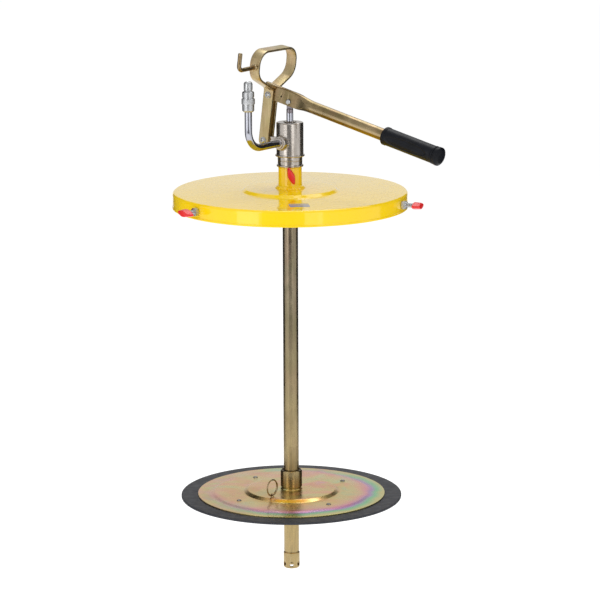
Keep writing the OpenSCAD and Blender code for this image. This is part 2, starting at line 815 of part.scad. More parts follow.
cover();
cover_neck();
rim_nuts();
neck_nut();
cover_label();
rim_stud_1();
rim_stud_2();
rim_stud_3();
neck_stud();
rim_wing_1();
rim_wing_2();
rim_wing_3();
neck_wing();
suction_tube();
pump_head();
head_collar();
rod_packing();
gland_nut();
link_bracket();
foot_valve();
foot_stop_pin();
foot_ball();
outlet_boss();
outlet_pipe();
coupling_body();
coupling_sleeve();
filler_tip();
outlet_ball();
outlet_spring();
piston_rod();
rod_eye();
eye_pin();
eye_clip();
piston();
piston_cup();
cup_retainer();
piston_ball();
lever();
grip();
carry_strap();
hook();
fulcrum_bolt();
fulcrum_nut();
link_bolt();
link_nut();
follower_plate();
follower_lip();
backing_plate();
plate_rivets();
follower_collar();
wiper_seal();
ring_staple();
pull_ring();
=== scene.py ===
import json
import math

import bmesh
import bpy
import numpy as np
from mathutils import Matrix, Vector


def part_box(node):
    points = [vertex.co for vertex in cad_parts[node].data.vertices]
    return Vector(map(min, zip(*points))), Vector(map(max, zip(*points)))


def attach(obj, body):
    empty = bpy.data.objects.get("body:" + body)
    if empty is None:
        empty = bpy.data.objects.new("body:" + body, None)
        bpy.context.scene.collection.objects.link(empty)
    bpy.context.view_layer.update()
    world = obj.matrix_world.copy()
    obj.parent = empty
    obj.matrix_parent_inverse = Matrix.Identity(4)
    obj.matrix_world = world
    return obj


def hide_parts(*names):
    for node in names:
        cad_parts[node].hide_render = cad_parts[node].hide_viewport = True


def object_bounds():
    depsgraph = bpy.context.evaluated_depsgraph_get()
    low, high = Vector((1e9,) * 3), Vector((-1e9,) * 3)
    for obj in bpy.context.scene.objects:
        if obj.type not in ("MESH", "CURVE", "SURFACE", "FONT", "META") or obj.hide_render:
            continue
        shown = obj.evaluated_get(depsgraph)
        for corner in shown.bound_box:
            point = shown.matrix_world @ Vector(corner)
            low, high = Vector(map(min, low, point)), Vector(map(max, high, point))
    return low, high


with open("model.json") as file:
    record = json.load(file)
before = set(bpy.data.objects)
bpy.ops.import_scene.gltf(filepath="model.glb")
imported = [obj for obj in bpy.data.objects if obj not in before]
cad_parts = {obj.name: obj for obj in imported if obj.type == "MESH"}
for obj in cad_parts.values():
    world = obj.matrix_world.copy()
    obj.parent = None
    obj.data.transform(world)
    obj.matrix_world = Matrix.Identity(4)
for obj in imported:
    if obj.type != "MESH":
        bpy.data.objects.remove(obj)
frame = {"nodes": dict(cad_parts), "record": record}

CAD_BOX = [list(v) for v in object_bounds()]

# ---- places, worked out from the frame
# Lengths in this script are millimetres until a mesh is made; MM turns them into metres.
MM = 0.001


def low(node):
    return [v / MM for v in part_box(node)[0]]


def high(node):
    return [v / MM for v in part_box(node)[1]]


def joint(name):
    return next(j for j in frame["record"]["behaviour"]["joints"] if j["name"] == name)


def pivot(name):
    return Vector([v / MM for v in joint(name)["pos_m"]])


def screw_angle(name):
    """Angle of a clamp screw round the pump axis, from its slide axis, which points inwards."""
    ax = joint(name)["axis"]
    return math.atan2(-ax[1], -ax[0])


COVER_R = (high("cover")[0] - low("cover")[0]) / 2
SKIRT_Z = low("cover")[2]
BOSS_TOP = high("cover")[2]
SHEET = 1.5  # sheet thickness of the cover
BOSS_R = 82.0  # raised middle of the cover and of the follower
NECK_TOP = high("cover_neck")[2]
NECK_BASE_R = (high("cover_neck")[0] - low("cover_neck")[0]) / 2
NECK_R = 20.4  # neck tube above its base ring
TUBE_R = (high("suction_tube")[0] - low("suction_tube")[0]) / 2
TUBE_IN_R = TUBE_R - 2
TUBE_FOOT = low("suction_tube")[2]
FOOT_Z = low("foot_valve")[2]
FOOT_R = (high("foot_valve")[0] - low("foot_valve")[0]) / 2
HEAD_BASE = low("pump_head")[2]
HEAD_TOP = high("pump_head")[2]
FLANGE_R = (high("pump_head")[0] - low("pump_head")[0]) / 2
HEAD_R = FLANGE_R - 2.2
COLLAR_R = (high("head_collar")[0] - low("head_collar")[0]) / 2
OUTLET_Z = (low("outlet_boss")[2] + high("outlet_boss")[2]) / 2
OUTLET_Y = (low("coupling_body")[1] + high("coupling_body")[1]) / 2
ROD_R = (high("piston_rod")[0] - low("piston_rod")[0]) / 2
ROD_PIN = pivot("lever_swing")
LINK_PIN = pivot("link_swing")
LEVER_DIP = math.radians(13)
LINK_LEAN = math.radians(7.8)
LEVER_LINE = 5.5  # the tube's centreline above the line of the two lever holes
ROOT_MID = 6.3  # the middle of the channel-shaped root above the same line
LEVER_AT = Matrix.Translation(ROD_PIN) @ Matrix.Rotation(LEVER_DIP, 4, "Y")
LINK_AT = Matrix.Translation(LINK_PIN) @ Matrix.Rotation(LINK_LEAN, 4, "Y")
LINK_LEN = 81.0  # from the lower link bolt to the fulcrum
LIP_TOP = high("follower_lip")[2]
LIP_R = (high("follower_lip")[0] - low("follower_lip")[0]) / 2
PLATE_R = (high("follower_plate")[0] - low("follower_plate")[0]) / 2
PLATE_TOP = high("follower_plate")[2]
BEAD_R = 138.0  # pressed bead of the follower plate
RIM_SCREW_Z = (low("rim_stud_1")[2] + high("rim_stud_1")[2]) / 2
NECK_SCREW_Z = (low("neck_stud")[2] + high("neck_stud")[2]) / 2
RING_PIN = pivot("pull_ring_swing")
DOWN_Y = Matrix.Rotation(math.radians(90), 4, "X")  # turns +Z to -Y


# ---- mesh helpers
def make(name, verts, faces, body, material, stands_for=(), at=Matrix(), crease=32):
    """A piece from vertices in millimetres, placed by at, shaded smooth up to the crease angle."""
    mesh = bpy.data.meshes.new(name)
    mesh.from_pydata([(at @ Vector(v)) * MM for v in verts], [], faces)
    bm = bmesh.new()
    bm.from_mesh(mesh)
    bmesh.ops.remove_doubles(bm, verts=bm.verts, dist=1e-7)
    bmesh.ops.recalc_face_normals(bm, faces=bm.faces)
    bm.to_mesh(mesh)
    bm.free()
    obj = bpy.data.objects.new(name, mesh)
    bpy.context.collection.objects.link(obj)
    finish_piece(obj, body, material, stands_for, crease)
    return obj


def shade(obj, crease=32):
    obj.data.polygons.foreach_set("use_smooth", [True] * len(obj.data.polygons))
    obj.data.set_sharp_from_angle(angle=math.radians(crease))


def finish_piece(obj, body, material, stands_for=(), crease=32):
    shade(obj, crease)
    obj.data.materials.clear()
    obj.data.materials.append(material)
    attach(obj, body)
    if stands_for:
        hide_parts(*stands_for)


def fillet(points, closed=True, step=12):
    """Rounds the corners of a polyline: each point is (x, y) or (x, y, radius)."""
    out = []
    n = len(points)
    for i, p in enumerate(points):
        r = p[2] if len(p) > 2 else 0
        if r <= 0 or (not closed and i in (0, n - 1)):
            out.append((p[0], p[1]))
            continue
        here = Vector(p[:2])
        a = Vector(points[i - 1][:2]) - here
        b = Vector(points[(i + 1) % n][:2]) - here
        half = a.angle(b) / 2
        reach = min(r / math.tan(half), 0.49 * a.length, 0.49 * b.length)
        r = reach * math.tan(half)
        a.normalize()
        b.normalize()
        centre = here + (a + b).normalized() * (r / math.sin(half))
        start = here + a * reach - centre
        end = here + b * reach - centre
        turn = start.angle_signed(end)
        steps = max(2, round(abs(math.degrees(turn)) / step))
        for k in range(steps + 1):
            out.append(tuple(centre + Matrix.Rotation(-turn * k / steps, 2) @ start))
    return out


def lathe(name, profile, body, material, slot, stands_for=(), at=Matrix(), around=144, crease=32,
          shape=None):
    """Turns a closed profile of (radius, height) round Z; shape(radius, angle, height) moves a radius."""
    verts, rows = [], []
    for r, z in profile:
        if r < 1e-6:
            rows.append([len(verts)] * around)
            verts.append((0, 0, z))
            continue
        rows.append(list(range(len(verts), len(verts) + around)))
        for k in range(around):
            a = 2 * math.pi * k / around
            rr = shape(r, a, z) if shape else r
            verts.append((rr * math.cos(a), rr * math.sin(a), z))
    faces = []
    for i in range(len(rows)):
        one, two = rows[i], rows[(i + 1) % len(rows)]
        for k in range(around):
            m = (k + 1) % around
            face = []
            for v in (one[k], one[m], two[m], two[k]):
                if v not in face:
                    face.append(v)
            if len(face) > 2:
                faces.append(face)
    return make(name, verts, faces, body, material, stands_for, at, crease)


def turned(name, corners, *args, step=12, **kw):
    """A lathed piece from corner points with fillet radii."""
    return lathe(name, fillet(corners, True, step), *args, **kw)


def loft(name, sections, body, material, slot, stands_for=(), at=Matrix(), loop=False, crease=32):
    """Joins sections, lists of 3D points of the same length; the ends are capped unless it is a loop."""
    n = len(sections[0])
    verts = [p for s in sections for p in s]
    faces = []
    last = len(sections) if loop else len(sections) - 1
    for i in range(last):
        a, b = i * n, ((i + 1) % len(sections)) * n
        faces += [(a + k, a + (k + 1) % n, b + (k + 1) % n, b + k) for k in range(n)]
    if not loop:
        faces.append(tuple(range(n - 1, -1, -1)))
        faces.append(tuple((len(sections) - 1) * n + k for k in range(n)))
    return make(name, verts, faces, body, material, stands_for, at, crease)


def sweep(path, section, closed=False, up=Vector((0, 0, 1))):
    """Sections of a shape carried along a path, kept level with up where it can be."""
    path = [Vector(p) for p in path]
    out = []
    n = len(path)
    side = None
    for i, p in enumerate(path):
        before = path[i - 1] if closed or i > 0 else p
        after = path[(i + 1) % n] if closed or i < n - 1 else p
        along = (after - before).normalized()
        if side is None:
            side = along.cross(up).normalized()
        side = (side - along * side.dot(along)).normalized()
        over = side.cross(along)
        shape = section(i / max(1, n - 1)) if callable(section) else section
        out.append([p + side * x + over * y for x, y in shape])
    return out


def circle(r, n=32):
    return [(r * math.cos(2 * math.pi * k / n), r * math.sin(2 * math.pi * k / n)) for k in range(n)]


def round_box(a, b, r, per_corner=8, r_low=None):
    """Rectangle of half sizes a and b, corner radius r (r_low below), always with as many points."""
    out = []
    for q, (sx, sy) in enumerate([(1, 1), (-1, 1), (-1, -1), (1, -1)]):
        r = min(r if sy > 0 or r_low is None else r_low, a - 1e-4, b - 1e-4)
        for k in range(per_corner):
            t = math.pi / 2 * (q + k / (per_corner - 1))
            out.append((sx * (a - r) + r * math.cos(t), sy * (b - r) + r * math.sin(t)))
    return out


def prism(name, outline, half, edge, *args, **kw):
    """An outline in X and Z, half thickness half along Y, with its edges rounded by edge."""
    levels = [(-half + edge * (1 - math.cos(math.pi / 2 * k / 4)), edge * (1 - math.sin(math.pi / 2 * k / 4)))
              for k in range(5)]
    levels += [(-y, d) for y, d in reversed(levels)]
    return loft(name, [[(x, y, z) for x, z in inset(outline, d)] for y, d in levels], *args, **kw)


def inset(outline, d):
    """The outline moved inwards by d."""
    n = len(outline)
    area = sum(outline[i - 1][0] * outline[i][1] - outline[i][0] * outline[i - 1][1] for i in range(n))
    sign = 1 if area > 0 else -1
    out = []
    for i in range(n):
        a, p, b = Vector(outline[i - 1]), Vector(outline[i]), Vector(outline[(i + 1) % n])
        one = (p - a).normalized()
        two = (b - p).normalized()
        normal = Vector((-(one.y + two.y), one.x + two.x)).normalized()
        stretch = max(0.5, Vector((-one.y, one.x)).dot(normal))
        out.append(tuple(p + normal * (sign * d / stretch)))
    return out


def weld(name, path, r, wave, waves, body, material, slot, at=Matrix(), up=Vector((0, 0, 1))):
    """A closed weld bead of radius r that swells and shrinks by wave along the path."""
    sections = sweep(path, lambda t: circle(r + wave * math.sin(t * waves), 10), closed=True, up=up)
    loft(name, sections, body, material, slot, at=at, loop=True)


def cutter(r, length, at):
    """A plain cylinder used to cut a hole; it is deleted after the cut."""
    bpy.ops.mesh.primitive_cone_add(vertices=48, radius1=r * MM, radius2=r * MM, depth=length * MM)
    obj = bpy.context.object
    m = at.copy()
    m.translation = m.translation * MM
    obj.matrix_world = m
    return obj


def slot_cutter(size, at):
    """A plain box used to cut a slot; it is deleted after the cut."""
    bpy.ops.mesh.primitive_cube_add(size=MM)
    obj = bpy.context.object
    m = at @ Matrix.Diagonal((*size, 1))
    m.translation = m.translation * MM
    obj.matrix_world = m
    return obj


def round_edges(obj, width, degrees):
    mod = obj.modifiers.new("edge", "BEVEL")
    mod.width = width * MM
    mod.segments = 2
    mod.limit_method = "ANGLE"
    mod.angle_limit = math.radians(degrees)


def cut(obj, cutters, bevel=0.0, crease=32):
    """Cuts the cutters out of obj and rounds the new edges."""
    for c in cutters:
        mod = obj.modifiers.new("cut", "BOOLEAN")
        mod.operation = "DIFFERENCE"
        mod.solver = "EXACT"
        mod.object = c
    if bevel:
        round_edges(obj, bevel, 50)
    bpy.context.view_layer.update()
    done = bpy.data.meshes.new_from_object(obj.evaluated_get(bpy.context.evaluated_depsgraph_get()))
    obj.modifiers.clear()
    obj.data = done
    for c in cutters:
        bpy.data.objects.remove(c)
    shade(obj, crease)


def mix(a, b, t):
    return a + (b - a) * t


def smooth(t):
    t = min(1.0, max(0.0, t))
    return t * t * (3 - 2 * t)


# ---- materials
class Shader:
    """A small helper round one material's nodes. Coordinates are the object's own, in metres."""

    def __init__(self, name):
        self.mat = bpy.data.materials.new(name)
        self.mat.use_nodes = True
        self.tree = self.mat.node_tree
        self.bsdf = self.tree.nodes["Principled BSDF"]
        self.coords = self.tree.nodes.new("ShaderNodeTexCoord").outputs["Object"]

    def link(self, a, b):
        self.tree.links.new(a, b)

    def set(self, **values):
        for key, value in values.items():
            self.bsdf.inputs[key.replace("_", " ")].default_value = value

    def scaled(self, x, y, z):
        node = self.tree.nodes.new("ShaderNodeMapping")
        node.inputs["Scale"].default_value = (x, y, z)
        self.link(self.coords, node.inputs["Vector"])
        return node.outputs["Vector"]

    def axes(self):
        node = self.tree.nodes.new("ShaderNodeSeparateXYZ")
        self.link(self.coords, node.inputs[0])
        return node.outputs

    def noise(self, scale, detail=4.0, rough=0.55, warp=0.0, stretch=(1, 1, 1)):
        node = self.tree.nodes.new("ShaderNodeTexNoise")
        node.inputs["Scale"].default_value = scale
        node.inputs["Detail"].default_value = detail
        node.inputs["Roughness"].default_value = rough
        node.inputs["Distortion"].default_value = warp
        self.link(self.scaled(*stretch), node.inputs["Vector"])
        return node.outputs["Fac"]

    def ramp(self, fac, stops):
        node = self.tree.nodes.new("ShaderNodeValToRGB")
        ramp = node.color_ramp
        while len(ramp.elements) < len(stops):
            ramp.elements.new(0.5)
        for element, (at, colour) in zip(ramp.elements, stops):
            element.position = at
            element.color = (*colour, 1)
        self.link(fac, node.inputs["Fac"])
        return node.outputs["Color"]

    def math(self, op, a, b):
        node = self.tree.nodes.new("ShaderNodeMath")
        node.operation = op
        for socket, value in zip(node.inputs, (a, b)):
            if isinstance(value, (int, float)):
                socket.default_value = value
            else:
                self.link(value, socket)
        return node.outputs[0]

    def span(self, fac, lo, hi, from_lo=0.3, from_hi=0.7):
        node = self.tree.nodes.new("ShaderNodeMapRange")
        node.inputs["From Min"].default_value = from_lo
        node.inputs["From Max"].default_value = from_hi
        node.inputs["To Min"].default_value = lo
        node.inputs["To Max"].default_value = hi
        self.link(fac, node.inputs["Value"])
        return node.outputs["Result"]

    def blend(self, fac, a, b):
        node = self.tree.nodes.new("ShaderNodeMix")
        node.data_type = "RGBA"
        if isinstance(fac, (int, float)):
            node.inputs[0].default_value = fac
        else:
            self.link(fac, node.inputs[0])
        for socket, value in ((node.inputs[6], a), (node.inputs[7], b)):
            if isinstance(value, tuple):
                socket.default_value = (*value, 1)
            else:
                self.link(value, socket)
        return node.outputs[2]

    def worn(self, lo=0.52, hi=0.6):
        """1 on sharp outer edges, 0 elsewhere."""
        node = self.tree.nodes.new("ShaderNodeNewGeometry")
        return self.span(node.outputs["Pointiness"], 0, 1, lo, hi)

    def bump(self, *layers):
        """Each layer is (height, strength, distance in metres)."""
        normal = None
        for height, strength, distance in layers:
            node = self.tree.nodes.new("ShaderNodeBump")
            node.inputs["Strength"].default_value = strength
            node.inputs["Distance"].default_value = distance
            self.link(height, node.inputs["Height"])
            if normal:
                self.link(normal, node.inputs["Normal"])
            normal = node.outputs["Normal"]
        self.link(normal, self.bsdf.inputs["Normal"])

    def base(self, colour):
        self.link(colour, self.bsdf.inputs["Base Color"])

    def roughness(self, value):
        self.link(value, self.bsdf.inputs["Roughness"])


def enamel_yellow():
    s = Shader("enamel_yellow")
    s.set(IOR=1.45, Specular_IOR_Level=0.2, Coat_Weight=1.0, Coat_Roughness=0.02, Coat_IOR=1.42)
    tone = s.ramp(s.noise(6, 3), [(0.3, (0.92, 0.615, 0.000)), (0.7, (0.96, 0.655, 0.001))])
    chip = s.math("MULTIPLY", s.worn(0.56, 0.66), s.span(s.noise(160, 3), 0, 1, 0.52, 0.60))
    s.base(s.blend(chip, tone, (0.50, 0.33, 0.01)))
    s.roughness(s.span(s.noise(40, 4), 0.22, 0.34))
    s.bump((s.noise(9, 2), 0.012, 0.0008), (s.noise(700, 2), 0.006, 0.0001))
    return s.mat


def passivated(name, dark, mid, light, rough=0.28, along=(1, 1, 0.05), scale=90, pale_foot=None):
    """Yellow-passivated zinc: bronze with olive and pink clouds and drawn lines along one axis."""
    s = Shader(name)
    s.set(Metallic=1.0)
    clouds = s.ramp(s.noise(26, 5, 0.6, 0.8, (1, 1, 0.35)), [(0.30, dark), (0.50, mid), (0.72, light)])
    bloom = s.ramp(s.noise(17, 4, 0.6, 1.6, (1, 1, 0.5)),
                   [(0.36, tuple(c * k for c, k in zip(mid, (0.85, 1.0, 0.8)))), (0.50, mid),
                    (0.66, tuple(c * k for c, k in zip(mid, (1.25, 0.95, 1.05))))])
    colour = s.blend(0.35, clouds, bloom)
    if pale_foot:
        colour = s.blend(s.span(s.axes()[2], 0.0, 0.8, -0.18, -0.56), colour, pale_foot)
    lines = s.noise(scale * 6, 3, 0.6, 0.0, along)
    colour = s.blend(s.span(lines, 0.0, 0.35, 0.42, 0.72), colour, dark)
    s.base(s.blend(s.math("MULTIPLY", s.worn(), 0.4), colour, tuple(min(0.8, c * 1.7) for c in light)))
    s.roughness(s.span(s.noise(45, 5, 0.65), rough - 0.08, rough + 0.10))
    s.bump((lines, 0.05, 0.0001), (s.noise(120, 3), 0.05, 0.0003))
    return s.mat


def plate_zinc():
    """Yellow-passivated pressed plate, with the pink, green and violet bloom of a thick chromate film; the
    violet band over the bead on the +X side is painted shade of the bead.
    """
    s = Shader("plate_zinc")
    s.set(Metallic=1.0)
    base = s.ramp(s.noise(7, 5, 0.6, 1.2), [(0.30, (0.56, 0.33, 0.10)), (0.50, (0.72, 0.49, 0.19)),
                                            (0.72, (0.68, 0.53, 0.24))])
    film = s.ramp(s.noise(6.5, 5, 0.6, 2.4, (1, 1, 1)),
                  [(0.30, (0.30, 0.60, 0.44)), (0.40, (0.56, 0.60, 0.26)), (0.48, (0.70, 0.50, 0.22)),
                   (0.56, (0.80, 0.36, 0.26)), (0.64, (0.66, 0.34, 0.46)), (0.74, (0.26, 0.56, 0.34))])
    x, y, _ = s.axes()
    radius = s.math("SQRT", s.math("ADD", s.math("MULTIPLY", x, x), s.math("MULTIPLY", y, y)), 0)
    rings = s.math("ADD", radius, s.math("MULTIPLY", s.noise(9, 4, 0.6, 1.0), 0.030))
    # Rim band on the +X side: pink and green chromate film, plus a darker violet band over the bead that is
    # painted shade of the bead.
    rim_film_and_bead_shade = s.ramp(s.span(rings, 0, 1, 0.120, 0.185),
                   [(0.0, (0.66, 0.50, 0.24)), (0.26, (0.74, 0.42, 0.30)), (0.42, (0.72, 0.26, 0.38)),
                    (0.54, (0.44, 0.26, 0.52)), (0.68, (0.20, 0.56, 0.30)), (0.86, (0.62, 0.56, 0.22))])
    near_rim = s.span(radius, 0.0, 0.95, 0.100, 0.140)
    side = s.span(s.math("ADD", x, s.math("MULTIPLY", s.noise(6, 3), 0.12)), 0.15, 1.0, -0.06, 0.14)
    colour = s.blend(s.span(s.noise(4, 3, 0.5, 0.6), 0.25, 0.85), base, film)
    s.base(s.blend(s.math("MULTIPLY", near_rim, side), colour, rim_film_and_bead_shade))
    s.roughness(s.span(s.noise(30, 5, 0.65), 0.20, 0.36))
    s.bump((s.noise(14, 3), 0.12, 0.002), (s.noise(420, 3), 0.03, 0.0001))
    return s.mat


def nickel():
    s = Shader("satin_nickel")
    s.set(Metallic=1.0)
    streaks = s.noise(210, 5, 0.65, 0.4, (1, 1, 0.10))
    s.base(s.blend(s.math("MULTIPLY", s.worn(), 0.35),
                   s.ramp(streaks, [(0.30, (0.36, 0.32, 0.28)), (0.50, (0.48, 0.44, 0.40)),
                                    (0.70, (0.57, 0.53, 0.49))]),
                   (0.62, 0.60, 0.56)))
    lathe_lines = s.noise(900, 2, 0.5, 0.0, (0.02, 0.02, 1))
    s.roughness(s.span(s.noise(120, 4), 0.18, 0.30))
    s.bump((lathe_lines, 0.05, 0.0001), (s.noise(160, 3), 0.04, 0.0002))
    return s.mat


def bright_zinc(name="bright_zinc", light=(0.54, 0.55, 0.56), dark=(0.43, 0.44, 0.45), rough=0.33):
    s = Shader(name)
    s.set(Metallic=1.0)
    s.base(s.blend(s.math("MULTIPLY", s.worn(), 0.5),
                   s.ramp(s.noise(240, 4, 0.6), [(0.32, dark), (0.62, light)]), (0.74, 0.74, 0.73)))
    s.roughness(s.span(s.noise(180, 4), rough - 0.08, rough + 0.10))
    s.bump((s.noise(500, 3), 0.05, 0.0001))
    return s.mat


def chrome():
    s = Shader("polished_chrome")
    s.set(Metallic=1.0)
    s.base(s.ramp(s.noise(40, 3), [(0.3, (0.37, 0.38, 0.43)), (0.7, (0.49, 0.50, 0.55))]))
    s.roughness(s.span(s.noise(110, 4), 0.05, 0.12))
    s.bump((s.noise(60, 3), 0.02, 0.0005))
    return s.mat


def red_plastic():
    s = Shader("red_moulded_plastic")
    s.set(IOR=1.5, Coat_Weight=0.25, Coat_Roughness=0.15)
    s.base(s.blend(s.math("MULTIPLY", s.worn(0.54, 0.66), 0.5),
                   s.ramp(s.noise(70, 3), [(0.3, (0.66, 0.006, 0.008)), (0.7, (0.80, 0.014, 0.012))]),
                   (0.92, 0.12, 0.08)))
    s.roughness(s.span(s.noise(220, 4), 0.28, 0.42))
    s.bump((s.noise(600, 3), 0.12, 0.0002))
    return s.mat


def black_plastic():
    s = Shader("black_moulded_plastic")
    s.set(IOR=1.5, Specular_IOR_Level=0.18)
    s.base(s.ramp(s.noise(60, 4), [(0.3, (0.0015, 0.002, 0.004)), (0.7, (0.004, 0.005, 0.009))]))
    s.roughness(s.span(s.noise(150, 4), 0.30, 0.44))
    s.bump((s.noise(1500, 2), 0.12, 0.0001), (s.noise(90, 3), 0.06, 0.0003))
    return s.mat


def rubber():
    s = Shader("moulded_rubber")
    s.set(IOR=1.5)
    dust = s.span(s.noise(28, 5, 0.7, 0.8), 0.0, 0.35, 0.45, 0.75)
    s.base(s.blend(dust, s.ramp(s.noise(18, 4), [(0.3, (0.012, 0.014, 0.022)), (0.7, (0.019, 0.021, 0.031))]),
                   (0.036, 0.036, 0.042)))
    s.roughness(s.span(s.noise(80, 5), 0.48, 0.64))
    s.bump((s.noise(1200, 3), 0.10, 0.0001), (s.noise(16, 3), 0.08, 0.002))
    return s.mat


def sticker():
    """A plain blue strip with no marks on it."""
    s = Shader("plain_sticker")
    s.set(IOR=1.45, Coat_Weight=0.6, Coat_Roughness=0.10)
    s.base(s.ramp(s.noise(90, 3), [(0.3, (0.10, 0.16, 0.36)), (0.7, (0.16, 0.23, 0.46))]))
    s.roughness(s.span(s.noise(200, 3), 0.30, 0.40))
    s.bump((s.noise(500, 2), 0.05, 0.0001))
    return s.mat


def brass():
    s = Shader("turned_brass")
    s.set(Metallic=1.0)
    s.base(s.ramp(s.noise(80, 4), [(0.3, (0.62, 0.42, 0.14)), (0.7, (0.80, 0.60, 0.26))]))
    s.roughness(s.span(s.noise(160, 4), 0.20, 0.34))
    s.bump((s.noise(900, 2, 0.5, 0.0, (0.02, 0.02, 1)), 0.10, 0.00015))
    return s.mat


YELLOW = enamel_yellow()
TUBE_ZINC = passivated("tube_zinc", (0.15, 0.120, 0.08), (0.27, 0.225, 0.150), (0.40, 0.34, 0.23), 0.26,
                       pale_foot=(0.45, 0.335, 0.150))
# The strap's zinc is the lever's yellow zinc made lighter: the front light falling on the strap is painted
# into its colour.
STRAP_ZINC_PAINTED_LIT = passivated("strap_zinc_painted_lit", (0.30, 0.21, 0.10), (0.50, 0.39, 0.21), (0.68, 0.57, 0.37), 0.32,
                        (1, 1, 0.08))
LEVER_ZINC = passivated("lever_zinc", (0.16, 0.11, 0.055), (0.31, 0.23, 0.125), (0.47, 0.37, 0.22), 0.26,
                        (0.05, 1, 1))
PLATE_ZINC = plate_zinc()
NICKEL = nickel()
ZINC = bright_zinc()
DARK_STEEL = bright_zinc("dark_steel", (0.34, 0.34, 0.35), (0.18, 0.18, 0.19), 0.34)
CHROME = chrome()
ROD_STEEL = bright_zinc("rod_steel", (0.27, 0.24, 0.26), (0.17, 0.15, 0.17), 0.20)
RED = red_plastic()
BLACK = black_plastic()
RUBBER = rubber()
STICKER = sticker()
BRASS = brass()


# ---- cover and neck
def make_cover():
    """Pressed cover: flat top, raised middle with a soft step, rounded edge, skirt with a rolled hem."""
    t, r, edge = SHEET, COVER_R, 5.0
    hole = TUBE_R + 0.4
    corners = [
        (hole, BOSS_TOP - t), (hole, BOSS_TOP),
        (BOSS_R - 4, BOSS_TOP, 5), (BOSS_R + 2.5, t, 5),
        (r - 0.8, t, edge), (r - 0.8, SKIRT_Z + 3.6, 0.8), (r, SKIRT_Z + 3.0, 0.8), (r, SKIRT_Z, 1.1),
        (r - 2.4, SKIRT_Z, 1.1), (r - 2.4, SKIRT_Z + 3.6, 0.8),
        (r - t - 0.8, 0, edge - t), (BOSS_R + 1.5, 0, 5), (BOSS_R - 5, BOSS_TOP - t, 5),
    ]
    turned("cover_shell", corners, "cover", YELLOW, "yellow_paint", ["cover"], around=256, step=9)


def make_neck():
    """Neck tube on its base ring, with a weld bead at the foot and a rounded mouth."""
    bore = TUBE_R + 0.35
    z = BOSS_TOP
    corners = [
        (bore, z), (NECK_BASE_R - 0.1, z, 0), (NECK_BASE_R - 0.1, z + 4.2, 1.4),
        (NECK_R + 1.2, z + 4.6, 0.8), (NECK_R, z + 6.2, 1.0), (NECK_R, NECK_TOP, 0.7), (bore, NECK_TOP, 0.7),
    ]
    turned("neck_shell", corners, "cover", YELLOW, "yellow_paint", ["cover_neck"], around=128)
    bead = []
    for k in range(96):
        a = 2 * math.pi * k / 96
        rr = NECK_BASE_R + 0.25 + 0.25 * math.sin(31 * a)
        wobble = 1.35 + 0.18 * math.sin(31 * a + 0.6)
        c = Vector((rr * math.cos(a), rr * math.sin(a), z + 0.5))
        out = Vector((math.cos(a), math.sin(a), 0))
        bead.append([c + out * wobble * u + Vector((0, 0, wobble * v)) for u, v in circle(1, 10)])
    loft("neck_weld", bead, "cover", YELLOW, "yellow_paint", loop=True)


def make_label():
    lo, hi = Vector(low("cover_label")), Vector(high("cover_label"))
    mid = (lo + hi) / 2
    turn = Matrix.Translation((mid.x, mid.y, lo.z)) @ Matrix.Rotation(math.radians(313 - 270), 4, "Z")
    half_x, half_y = 17, 15
    outline = round_box(half_x, half_y, 2.0, 6)
    levels = [(0.0, 0.0), (0.22, 0.0), (0.30, 0.10)]
    sections = [[(x * (1 - d / half_x), y * (1 - d / half_y), z) for x, y in outline] for z, d in levels]
    loft("cover_sticker", sections, "cover", STICKER, "label", ["cover_label"], turn)


# ---- clamp screws
def at_screw(angle, z, roll=0.0):
    return (Matrix.Translation((0, 0, z)) @ Matrix.Rotation(angle, 4, "Z") @ Matrix.Rotation(roll, 4, "X"))


def make_stud(name, node, body, angle, z, tip, root):
    """Threaded stud along X: a helical ridge of the real pitch, with a turned-down tip."""
    pitch, r, depth, around, per_turn = 1.25, 3.95, 0.62, 28, 8
    steps = round((root - tip) / pitch * per_turn)
    verts = []
    for i in range(steps + 1):
        x = tip + (root - tip) * i / steps
        for k in range(around):
            a = 2 * math.pi * k / around
            phase = ((x - tip) / pitch - k / around) % 1
            ridge = abs(phase * 2 - 1)
            near_tip = min(1.0, (x - tip + 0.6) / 2.2)
            rr = (r - depth * (1 - smooth(ridge * 1.25))) * mix(0.74, 1, near_tip)
            verts.append((x, rr * math.cos(a), rr * math.sin(a)))
    sections = [verts[i * around:(i + 1) * around] for i in range(steps + 1)]
    loft(name, sections, body, ZINC, "zinc", [node], at_screw(angle, z), crease=60)


